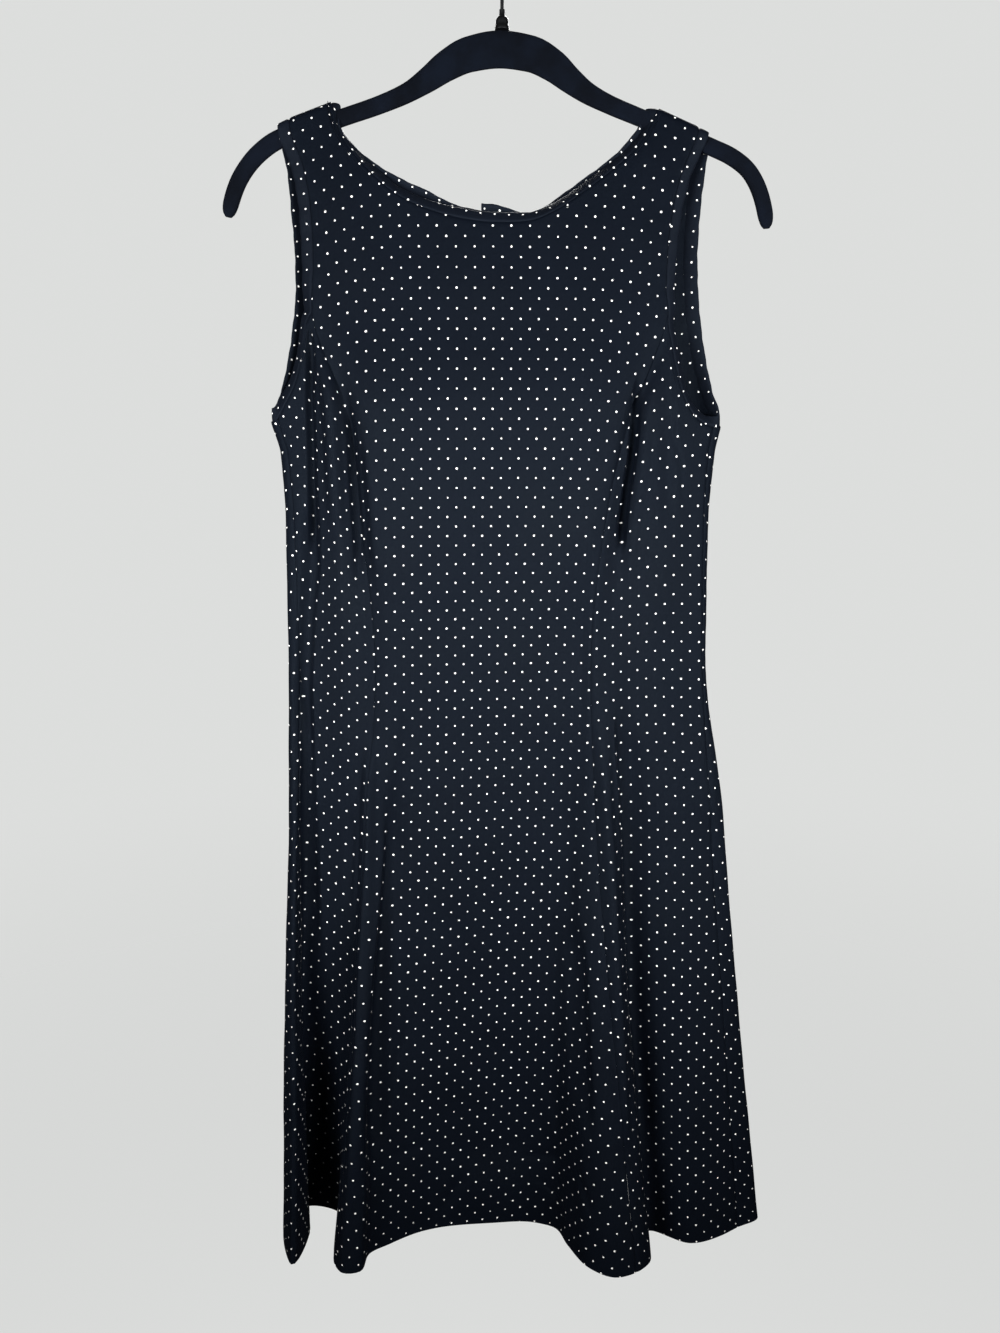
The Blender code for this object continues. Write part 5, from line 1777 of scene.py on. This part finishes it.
class Paint(Graph):
    """A material under construction, with its one shader."""

    def __init__(self, name: str) -> None:
        """Start a material.

        Args:
            name: its name.
        """
        self.material = bpy.data.materials.new(name)
        self.material.use_nodes = True
        super().__init__(self.material.node_tree)
        self.shader = self.tree.nodes["Principled BSDF"]

    def coat(self, inputs: dict) -> Material:
        """Set or link the shader's inputs, which finishes the material."""
        self.fill(self.shader, inputs)
        return self.material


class GroupMaker(Graph):
    """A shared node group with named inputs and outputs."""

    def __init__(self, name: str, takes: Sequence[tuple[str, str, float]],
                 gives: Sequence[tuple[str, str]]) -> None:
        """Open a group.

        Args:
            name: its name.
            takes: name, kind and default of each input.
            gives: name and kind of each output.
        """
        super().__init__(bpy.data.node_groups.new(name, "ShaderNodeTree"))
        for label, kind, default in takes:
            socket = self.tree.interface.new_socket(name=label, in_out="INPUT",
                                                    socket_type=f"NodeSocket{kind}")
            if kind == "Float":
                socket.default_value = default
        for label, kind in gives:
            self.tree.interface.new_socket(name=label, in_out="OUTPUT",
                                           socket_type=f"NodeSocket{kind}")
        self.inside = self.tree.nodes.new("NodeGroupInput").outputs
        self.result = self.tree.nodes.new("NodeGroupOutput")

    def give(self, name: str, socket: object) -> None:
        """Send a socket to one of the outputs."""
        self.tree.links.new(socket, self.result.inputs[name])


def pin_dot_group() -> NodeTree:
    """Staggered rows of small printed dots on the flat cloth.

    Returns:
        A group that takes the flat coordinates in metres and gives the dots' mask.
    """
    g = GroupMaker("pin_dots",
                   [("Grain", "Vector", 0.0), ("Pitch Across", "Float", 0.0154),
                    ("Pitch Down", "Float", 0.0163), ("Stagger", "Float", 0.5),
                    ("Radius", "Float", 0.0011), ("Unevenness", "Float", 0.3)],
                   [("Mask", "Float"), ("Ink", "Float")])
    grain = g.node("SeparateXYZ", {0: g.inside["Grain"]}).outputs
    uneven = g.inside["Unevenness"]
    fuzz = g.node("TexNoise", {"Vector": g.inside["Grain"], "Scale": 620.0, "Detail": 2.0},
                  noise_dimensions="2D").outputs[0]
    fuzz = g.math("MULTIPLY", g.math("SUBTRACT", fuzz, 0.5), uneven)
    drift = g.math("MULTIPLY", uneven, 0.0006)
    pitches = (g.inside["Pitch Across"], g.inside["Pitch Down"])
    masks, inks = [], []
    for row in (0.0, 1.0):
        shifts = (g.math("MULTIPLY", g.inside["Stagger"], row), 0.5 * row)
        spots = [g.math("ADD", g.math("DIVIDE", grain[k], pitches[k]), shifts[k])
                 for k in (0, 1)]
        cells = [g.math("ROUND", spot) for spot in spots]
        cell = g.node("CombineXYZ", {0: cells[0], 1: cells[1], 2: row}).outputs[0]
        luck = g.node("TexWhiteNoise", {"Vector": cell}, noise_dimensions="3D").outputs
        luck_xyz = g.node("SeparateXYZ", {0: luck[1]}).outputs
        off_x, off_y = (
            g.math("ADD", g.math("MULTIPLY", g.math("SUBTRACT", spots[k], cells[k]),
                                 pitches[k]),
                   g.math("MULTIPLY", g.math("SUBTRACT", luck_xyz[k], 0.5), drift))
            for k in (0, 1))
        off_x = g.math("MULTIPLY", off_x, g.math("MULTIPLY_ADD", luck_xyz[2], uneven, 0.9))
        gap = g.math("SQRT", g.math("ADD", g.math("MULTIPLY", off_x, off_x),
                                    g.math("MULTIPLY", off_y, off_y)))
        size = g.math("MULTIPLY", g.inside["Radius"],
                      g.math("MULTIPLY_ADD", luck[0], g.math("MULTIPLY", uneven, 0.7), 0.9))
        share = g.math("ADD", g.math("DIVIDE", gap, size), fuzz)
        masks.append(g.ramp(share, 1.12, 0.85))
        inks.append(g.math("MULTIPLY", masks[-1], luck[0]))
    g.give("Mask", g.math("MAXIMUM", *masks))
    g.give("Ink", g.math("MAXIMUM", *inks))
    return g.tree


def knit_group() -> NodeTree:
    """Fine rows of knitted loops on the flat cloth.

    Returns:
        A group that takes the flat coordinates in metres and gives a height from 0 to 1
        and painted shade that darkens the hollows between the loops.
    """
    g = GroupMaker("knit_loops",
                   [("Grain", "Vector", 0.0), ("Wale", "Float", 0.0009),
                    ("Course", "Float", 0.0008), ("Looseness", "Float", 0.25)],
                   [("Height", "Float"), ("Painted Loop Shade", "Float")])
    wobble = g.node("TexNoise", {"Vector": g.inside["Grain"], "Scale": 160.0, "Detail": 2.0},
                    noise_dimensions="2D").outputs[0]
    wobble = g.math("MULTIPLY", g.math("SUBTRACT", wobble, 0.5), g.inside["Looseness"])
    grain = g.node("SeparateXYZ", {0: g.inside["Grain"]}).outputs
    across = g.math("ADD", g.math("DIVIDE", grain[0], g.inside["Wale"]), wobble)
    down = g.math("DIVIDE", grain[1], g.inside["Course"])
    half = g.math("ABSOLUTE", g.math("SUBTRACT", g.math("FRACT", across), 0.5))
    leg = g.math("SUBTRACT", 1.0, g.math("MULTIPLY",
                                         g.math("ABSOLUTE", g.math("SUBTRACT", half, 0.25)),
                                         4.0))
    slant = g.math("ADD", down, g.math("MULTIPLY", half, 1.4))
    turn = g.math("MULTIPLY", g.math("ADD", slant, wobble), 2.0 * math.pi)
    loop = g.math("MULTIPLY_ADD", g.math("SINE", turn), 0.5, 0.5)
    height = g.math("MULTIPLY", leg, g.math("MULTIPLY_ADD", loop, 0.6, 0.4))
    g.give("Height", height)
    # painted shade: the low parts of the loops are given as darker
    g.give("Painted Loop Shade", g.ramp(height, 0.0, 0.9))
    return g.tree


def lint_group() -> NodeTree:
    """Slow mottling of a soft surface, with a few pale fibres.

    Returns:
        A group that takes a position in metres and gives masks from 0 to 1.
    """
    g = GroupMaker("lint_and_mottle",
                   [("Position", "Vector", 0.0), ("Mottle Scale", "Float", 18.0),
                    ("Fibre Scale", "Float", 900.0), ("Fibre Amount", "Float", 0.3)],
                   [("Mottle", "Float"), ("Fibres", "Float"), ("Nap", "Float")])
    mottle = g.node("TexNoise", {"Vector": g.inside["Position"],
                                 "Scale": g.inside["Mottle Scale"], "Detail": 4.0,
                                 "Roughness": 0.6}).outputs[0]
    fine = g.node("TexNoise", {"Vector": g.inside["Position"],
                               "Scale": g.inside["Fibre Scale"], "Detail": 3.0,
                               "Roughness": 0.7, "Distortion": 1.5}).outputs[0]
    edge = g.math("SUBTRACT", 0.78, g.math("MULTIPLY", g.inside["Fibre Amount"], 0.15))
    g.give("Mottle", g.ramp(mottle, 0.3, 0.7))
    g.give("Fibres", g.ramp(fine, edge, 0.85))
    g.give("Nap", fine)
    return g.tree


# ==== finishes
@dataclass(frozen=True)
class KnitFinish:
    """Matt dark knit with a printed pin dot."""

    name: str  # the material's name
    dark: Color  # the cloth's deeper shade
    light: Color  # its lighter shade
    dot: Color  # colour of the dots
    pitch: tuple[float, float]  # space between dots, across and down, metres
    stagger: float = 0.5  # how far every second row is moved, in pitches
    radius: float = 0.00074  # radius of a dot, metres
    sheen: float = 0.006  # strength of the soft light at grazing angles
    gloss: float = 0.055  # strength of the smooth yarn's broad highlight

    def material(self, groups: dict[str, NodeTree]) -> Material:
        """Build the material.

        Args:
            groups: the shared node groups.

        Returns:
            The material.
        """
        g = Paint(self.name)
        grain = g.node("UVMap", uv_map=GRAIN_MAP).outputs[0]
        dots = g.group(groups["pin_dots"], {
            "Grain": grain, "Pitch Across": self.pitch[0], "Pitch Down": self.pitch[1],
            "Stagger": self.stagger, "Radius": self.radius})
        loops = g.group(groups["knit_loops"], {"Grain": grain})
        lint = g.group(groups["lint_and_mottle"],
                       {"Position": g.node("TexCoord").outputs["Object"]})
        cloth = g.mix(lint["Mottle"], self.dark, self.light)
        # painted shade: the hollows between the knit loops are darkened in the base colour
        cloth = g.mix(loops["Painted Loop Shade"], tuple(0.55 * c for c in self.dark), cloth)
        cloth = g.mix(g.math("MULTIPLY", lint["Fibres"], 0.25), cloth,
                      tuple(6.0 * c for c in self.light))
        ink = g.mix(dots["Ink"], tuple(0.8 * c for c in self.dot), self.dot)
        height = g.math("MULTIPLY_ADD", dots["Mask"], 0.25, loops["Height"])
        bump = g.node("Bump", {"Strength": 0.35, "Distance": 0.0003, "Height": height})
        return g.coat({
            "Base Color": g.mix(dots["Mask"], cloth, ink),
            "Roughness": g.math("MULTIPLY_ADD", lint["Mottle"], 0.06, 0.55),
            "Normal": bump.outputs[0], "Specular IOR Level": self.gloss,
            "Specular Tint": (0.64, 0.82, 1.0, 1.0), "Sheen Weight": self.sheen,
            "Sheen Roughness": 0.45, "Sheen Tint": (0.72, 0.8, 1.0, 1.0)})


@dataclass(frozen=True)
class FlockFinish:
    """Short black flock on the hanger's bar."""

    name: str = "black_flock"
    color: Color = (0.0011, 0.0018, 0.0036)
    fibre: Color = (0.014, 0.016, 0.02)
    sheen: float = 0.005

    def material(self, groups: dict[str, NodeTree]) -> Material:
        """Build the material.

        Args:
            groups: the shared node groups.

        Returns:
            The material.
        """
        g = Paint(self.name)
        nap = g.group(groups["lint_and_mottle"], {
            "Mottle Scale": 35.0, "Fibre Scale": 1500.0,
            "Position": g.node("TexCoord").outputs["Object"]})
        base = g.mix(nap["Mottle"], self.color, tuple(2.2 * c for c in self.color))
        bump = g.node("Bump", {"Strength": 0.6, "Distance": 0.0004, "Height": nap["Nap"]})
        return g.coat({
            "Base Color": g.mix(g.math("MULTIPLY", nap["Fibres"], 0.2), base, self.fibre),
            "Roughness": g.math("MULTIPLY_ADD", nap["Mottle"], 0.06, 0.9),
            "Normal": bump.outputs[0], "Specular IOR Level": 0.06,
            "Sheen Weight": self.sheen, "Sheen Roughness": 0.35})


@dataclass(frozen=True)
class SteelFinish:
    """Dark plated steel, finely scratched along its length."""

    name: str = "bright_steel"
    color: Color = (0.06, 0.062, 0.066)

    def material(self, groups: dict[str, NodeTree]) -> Material:
        """Build the material.

        Args:
            groups: the shared node groups.

        Returns:
            The material.
        """
        g = Paint(self.name)
        wear = g.group(groups["lint_and_mottle"], {
            "Mottle Scale": 140.0, "Position": g.node("TexCoord").outputs["Object"]})
        grain = g.node("UVMap", uv_map=GRAIN_MAP).outputs[0]
        long = g.node("Mapping", {"Vector": grain, "Scale": (40.0, 2600.0, 1.0)}).outputs[0]
        scratch = g.node("TexNoise", {"Vector": long, "Scale": 1.0, "Detail": 3.0},
                         noise_dimensions="2D").outputs[0]
        bump = g.node("Bump", {"Strength": 0.12, "Distance": 0.0001, "Height": scratch})
        return g.coat({
            "Base Color": g.mix(wear["Mottle"], tuple(0.8 * c for c in self.color),
                                self.color),
            "Roughness": g.ramp(scratch, 0.3, 0.7, 0.3, 0.46),
            "Normal": bump.outputs[0], "Metallic": 1.0})


# ==== studio
@dataclass
class Studio:
    """Camera, lights, floor and pale surroundings."""

    # the camera's place, metres
    eye: tuple[float, float, float] = (-0.0016, -0.8233, -0.4258)
    pitch_down: float = 10.1  # how far it looks down, degrees
    focal_px: float = 963.0  # focal length in pixels of a frame 1333 high
    pale: Color = (0.72, 0.73, 0.72)  # colour of the surroundings
    spread: float = 1.12  # angle that each light's beam opens to, radians
    floor_z: float = -1.75  # height of the floor
    floor_reach: float = 4.0  # radius of the floor
    floor_corners: int = 96  # corners of its rim

    def camera(self) -> None:
        """The camera, in a frame 1000 wide and 1333 high."""
        lens = bpy.data.cameras.new("camera")
        lens.sensor_fit = "VERTICAL"
        lens.sensor_height = 36.0
        lens.lens = 36.0 * self.focal_px / 1333.0
        lens.clip_start = 0.01
        eye = in_scene("camera", lens)
        eye.location = self.eye
        eye.rotation_euler = (math.radians(90.0 - self.pitch_down), 0.0, 0.0)
        bpy.context.scene.camera = eye

    def light(self, name: str, place: Sequence[float], aim: Sequence[float], size: float,
              power: float) -> None:
        """Hang a square soft light.

        Args:
            name: its name.
            place: where it hangs, metres.
            aim: the point it faces.
            size: length of its side.
            power: its watts.
        """
        lamp = bpy.data.lights.new(name, "AREA")
        lamp.size = size
        lamp.energy = power
        lamp.spread = self.spread
        holder = in_scene(name, lamp)
        holder.location = place
        run = np.array(aim, float) - np.array(place, float)
        flat = math.hypot(run[0], run[1])
        holder.rotation_euler = (math.atan2(flat, -run[2]), 0.0, math.atan2(-run[0], run[1]))

    def surroundings(self) -> None:
        """Pale surroundings that light the object softly."""
        scene = bpy.context.scene
        scene.view_settings.view_transform = "Standard"
        world = bpy.data.worlds.new("pale")
        world.use_nodes = True
        scene.world = world
        g = Graph(world.node_tree)
        shown = world.node_tree.nodes["Background"]
        g.fill(shown, {0: (*self.pale, 1.0), 1: 1.0})
        lit = g.node("Background", {0: (*self.pale, 1.0), 1: AMBIENT})
        mix = g.node("MixShader")
        g.fill(mix, {0: g.node("LightPath").outputs["Is Camera Ray"], 1: lit.outputs[0],
                     2: shown.outputs[0]})
        g.fill(world.node_tree.nodes["World Output"], {0: mix.outputs[0]})

    def floor(self) -> None:
        """A plain pale floor that fades into the surroundings."""
        rim = [(self.floor_reach * math.cos(a), self.floor_reach * math.sin(a), self.floor_z)
               for a in ring_angles(self.floor_corners)]
        mesh = bpy.data.meshes.new("floor")
        mesh.from_pydata(rim, [], [list(range(self.floor_corners))])
        g = Paint("floor_paint")
        place = g.node("TexCoord").outputs["Object"]
        flat = g.node("VectorMath", {0: place, 1: (1.0, 1.0, 0.0)},
                      operation="MULTIPLY").outputs[0]
        far = g.node("VectorMath", {0: flat}, operation="LENGTH").outputs["Value"]
        seen = g.node("LightPath").outputs["Is Camera Ray"]
        mesh.materials.append(g.coat({
            "Alpha": g.ramp(far, 0.3 * self.floor_reach, 0.95 * self.floor_reach, 1.0, 0.0),
            "Base Color": (0.12, 0.12, 0.12, 1.0), "Roughness": 0.9,
            "Emission Color": (*self.pale, 1.0),
            "Emission Strength": g.math("MULTIPLY", seen, 0.93)}))
        disc = in_scene("floor", mesh)

    def build(self) -> None:
        """Set up everything round the object."""
        self.camera()
        self.surroundings()
        self.floor()
        for name, place, aim, size, power in LIGHTS:
            self.light(name, place, aim, size, power)


# ==== settings of the looks
# Columns: height, reach of the flanks on the left and right, share of each end that dies
# away, then (X, drop) points.
FRONT_CREASES = (
    (-5.2, 4.4, 5.5, 0.2, ((-153, 284), (-155, 302), (-156, 322), (-157, 350), (-157, 381),
     (-158, 442), (-159, 484))),
    (-4.8, 12, 8, 0.22, ((-158, 410), (-159, 484), (-163, 515), (-166, 548), (-170, 600),
     (-170, 654))),
    (-4.2, 13, 8, 0.25, ((-168, 560), (-170, 600), (-170, 654), (-169, 714), (-169, 784),
     (-170, 848))),
    (-4.6, 4.6, 5.6, 0.22, ((-128, 339), (-127, 350), (-125, 362), (-123, 382), (-122, 412),
     (-121, 442), (-120, 463), (-120, 505))),
    (-6.4, 2.8, 6, 0.16, ((110, 330), (108, 346), (107, 364), (106, 386), (104, 406),
     (100, 432), (99, 450), (97, 476))),
    (2.4, 8, 9, 0.25, ((124, 307), (119, 342), (116, 374), (113, 406), (109, 438),
     (106, 471), (104, 504))),
    (-2, 10, 8, 0.3, ((134, 307), (134, 343), (134, 374), (136, 406), (137, 442),
     (134, 471))),
    (-1, 5, 3.5, 0.3, ((140, 349), (139, 372), (144, 391), (148, 411), (151, 442))),
    (2.2, 9, 9, 0.25, ((-142, 292), (-140, 323), (-138, 350), (-138, 390), (-137, 430),
     (-137, 467))),
    (1.6, 8, 8, 0.3, ((-111, 370), (-107, 406), (-106, 438), (-104, 475), (-103, 500))),
    (5, 9, 8.5, 0.12, ((-112, 620), (-116, 687), (-118, 741), (-120, 793), (-124, 896),
     (-130, 1000), (-133, 1056))),
    (-1.8, 8, 6, 0.35, ((-130, 679), (-134, 743), (-139, 799))),
    (-5, 6, 20, 0.2, ((-98, 660), (-99, 733), (-103, 794), (-107, 837), (-112, 906),
     (-116, 986), (-117, 1044))),
    (-1.2, 5, 5, 0.3, ((-81, 885), (-90, 912), (-98, 942), (-108, 984), (-114, 1018))),
    (-5, 5, 20, 0.14, ((98, 596), (101, 633), (106, 680), (111, 752), (117, 859),
     (125, 947), (132, 1034))),
    (-4.2, 14, 8, 0.25, ((65, 789), (69, 854), (72, 916), (74, 956), (77, 998))),
    (4.2, 11, 7, 0.2, ((86, 597), (90, 678), (95, 748), (101, 850), (106, 932),
     (110, 1016))),
    (1, 6, 6, 0.35, ((181, 641), (187, 691), (194, 737), (200, 784))),
    (7, 80, 70, 0.3, ((-5, 1020), (-5, 1110), (-5, 1200))),
    (-1.6, 5, 4, 0.3, ((16, 1038), (38, 1034), (60, 1030))),
    (-1.6, 4, 4, 0.3, ((64, 1018), (73, 1038), (82, 1060))),
    (1.2, 9, 6, 0.3, ((34, 948), (46, 1000), (56, 1028))),
    (-2.2, 8, 8, 0.35, ((-58, 1092), (-44, 1066), (-34, 1050))),
    (-1.3, 5, 5, 0.35, ((-108, 1022), (-80, 1020), (-54, 1016))),
    (-1.3, 4, 4, 0.3, ((25, 1055), (42, 1064), (58, 1078))),
)
BACK_CREASES = (
    (-3, 9, 12, 0.3, ((-100, 380), (-96, 450), (-92, 520), (-92, 590))),
    (-2.6, 12, 8, 0.3, ((78, 380), (75, 450), (72, 530), (72, 600))),
    (-1.8, 5, 6, 0.3, ((-166, 374), (-140, 402), (-118, 440), (-104, 490))),
    (-1.6, 6, 5, 0.3, ((150, 376), (126, 404), (104, 446), (90, 500))),
    (2.2, 14, 9, 0.2, ((-88, 690), (-88, 820), (-86, 950), (-84, 1080))),
    (-2.6, 9, 8, 0.2, ((-62, 720), (-60, 850), (-56, 980), (-52, 1090))),
    (-2.4, 8, 10, 0.2, ((42, 700), (46, 830), (52, 960), (58, 1090))),
    (1.8, 9, 12, 0.25, ((78, 720), (84, 850), (92, 980), (98, 1090))),
    (-1.2, 16, 16, 0.35, ((-60, 240), (-17, 256), (30, 240))),
)
CREASES = tuple(Crease(layer, *row) for layer, rows in (
    (Layer.FRONT, FRONT_CREASES), (Layer.BACK, BACK_CREASES)) for row in rows)

# Columns: place that the straight grain follows, then as Grain's fields.
GRAINS = {
    "front_centre": Grain(
        16.5, (-3.2, 149.8, 5.1, 3.0, -5.8, 11.6, -2.7, -1.4, -5.8, 2.1, -1.7, -3.3, -4.5,
               7.1, -2.4),
        (-53.5, 3.9, 474.1, 0.6, 8.1, -3.8, -1.9, 6.8, 0.7, -8.6, -7.7, -3.9, 6.8, -2.4,
         2.2), (-155.0, 30.0), (140.0, 980.0)),
    "front_side_left": Grain(
        9.5, (10.1, 43.6, 32.0, -1.9, -10.0, 5.0, 0.0, -5.1, 3.1, -4.3, -2.7, -2.1, 4.1,
              -5.8, 6.2),
        (65.7, -6.2, 376.1, -1.3, 7.5, -5.7, -1.6, 6.4, 3.4, -3.2, 1.6, 0.8, -2.1, 0.3,
         -0.4), (-50.0, 205.0), (35.0, 975.0)),
    "front_side_right": Grain(
        25.5, (-11.2, 67.3, 17.2, -4.9, 1.9, 15.1, -0.1, -1.7, 2.9, -5.0, 0.5, 4.5, 2.0,
               -7.5, -1.9),
        (-22.9, -0.3, 370.3, -6.2, -7.8, 0.9, -2.9, 6.3, 10.9, -4.2, 4.9, -1.1, 0.2, 0.0,
         -4.1), (-100.0, 220.0), (35.0, 975.0)),
    "back_left": Grain(0.0, (3.0, 150.0, 2.0), (2.0, -2.0, 475.0)),
    "back_right": Grain(33.0, (-3.0, 150.0, -2.0), (6.0, 2.0, 475.0)),
}

# Offset of a band's dots along it, then rows: length along the band, distance of its row
# of dots from the sewn edge, mm.
NECK_DOTS = (-2.2, ((125, 2), (172, 1.9), (262, 0.4), (297, -1.9), (374, -3.9), (409, -9),
                    (484, -8.9), (660, -6)))
ARM_DOTS_LEFT = (0.4, ((136, 3.3), (184, 4), (270, 6.1), (365, 6.4), (400, 4.2), (436, 4),
                       (460, 3.7), (490, 0.4)))
ARM_DOTS_RIGHT = (0.0, ((12, 3.2), (97, 0.2), (140, -2.9), (151, -1.8), (170, -3),
                        (200, -7.5), (220, -9.3), (250, -9.7), (352, -4.9), (481, -7.6)))

# Columns: width, length and area each piece is cut to, metres.
FLAT_SIZES = {
    "front_centre": (0.337, 0.984, 0.224),
    "front_side_left": (0.135, 0.826, 0.062),
    "front_side_right": (0.150, 0.828, 0.087),
    "back_left": (0.362, 0.982, 0.210),
    "back_right": (0.300, 0.979, 0.203),
    "neck_band": (0.012, 0.674, 0.0078),
    "armhole_band_left": (0.013, 0.492, 0.0062),
    "armhole_band_right": (0.011, 0.500, 0.0053),
}

KNIT = KnitFinish("dotted_knit", (0.0022, 0.0034, 0.0066), (0.0029, 0.0045, 0.0088),
                  dot=(0.95, 0.94, 0.9), pitch=(0.01455, 0.0154))
# painted light: the bands are the same dotted knit as the body, given colours about twice as
# light to stand in for light on them
BAND_PAINTED_LIGHTER = KnitFinish("band_knit", (0.0044, 0.0060, 0.0102), (0.0058, 0.0080, 0.0136),
                  dot=(0.95, 0.94, 0.9), pitch=(0.0118, 0.0196), stagger=0.0)

AMBIENT = 0.05
# Columns: name, place, aim, size, power.
LIGHTS = (
    ("left", (-0.9, -1.12, -0.54), (0.0, 0.0, -0.42), 0.75, 7.0),
    ("right", (0.88, -1.12, -0.54), (0.0, 0.0, -0.42), 0.75, 7.3),
    ("back", (0.1, 1.5, 0.7), (0.0, 0.0, -0.5), 1.2, 14.0),
)


def main() -> None:
    """Build the finishes, the hanger, the dress and the studio."""
    logging.basicConfig(level=logging.INFO, format="%(name)s: %(message)s")
    groups = {tree.name: tree for tree in (pin_dot_group(), knit_group(), lint_group())}
    knit = KNIT.material(groups)
    band = BAND_PAINTED_LIGHTER.material(groups)
    pieces = Hanger().build(FlockFinish().material(groups), SteelFinish().material(groups))
    pieces += Dress(CREASES, flat_sizes=FLAT_SIZES).build(knit, band)
    Studio().build()
    for piece in pieces:
        LOG.info("%s: %d faces", piece.name, len(piece.data.polygons))


if __name__ == "__main__":
    main()
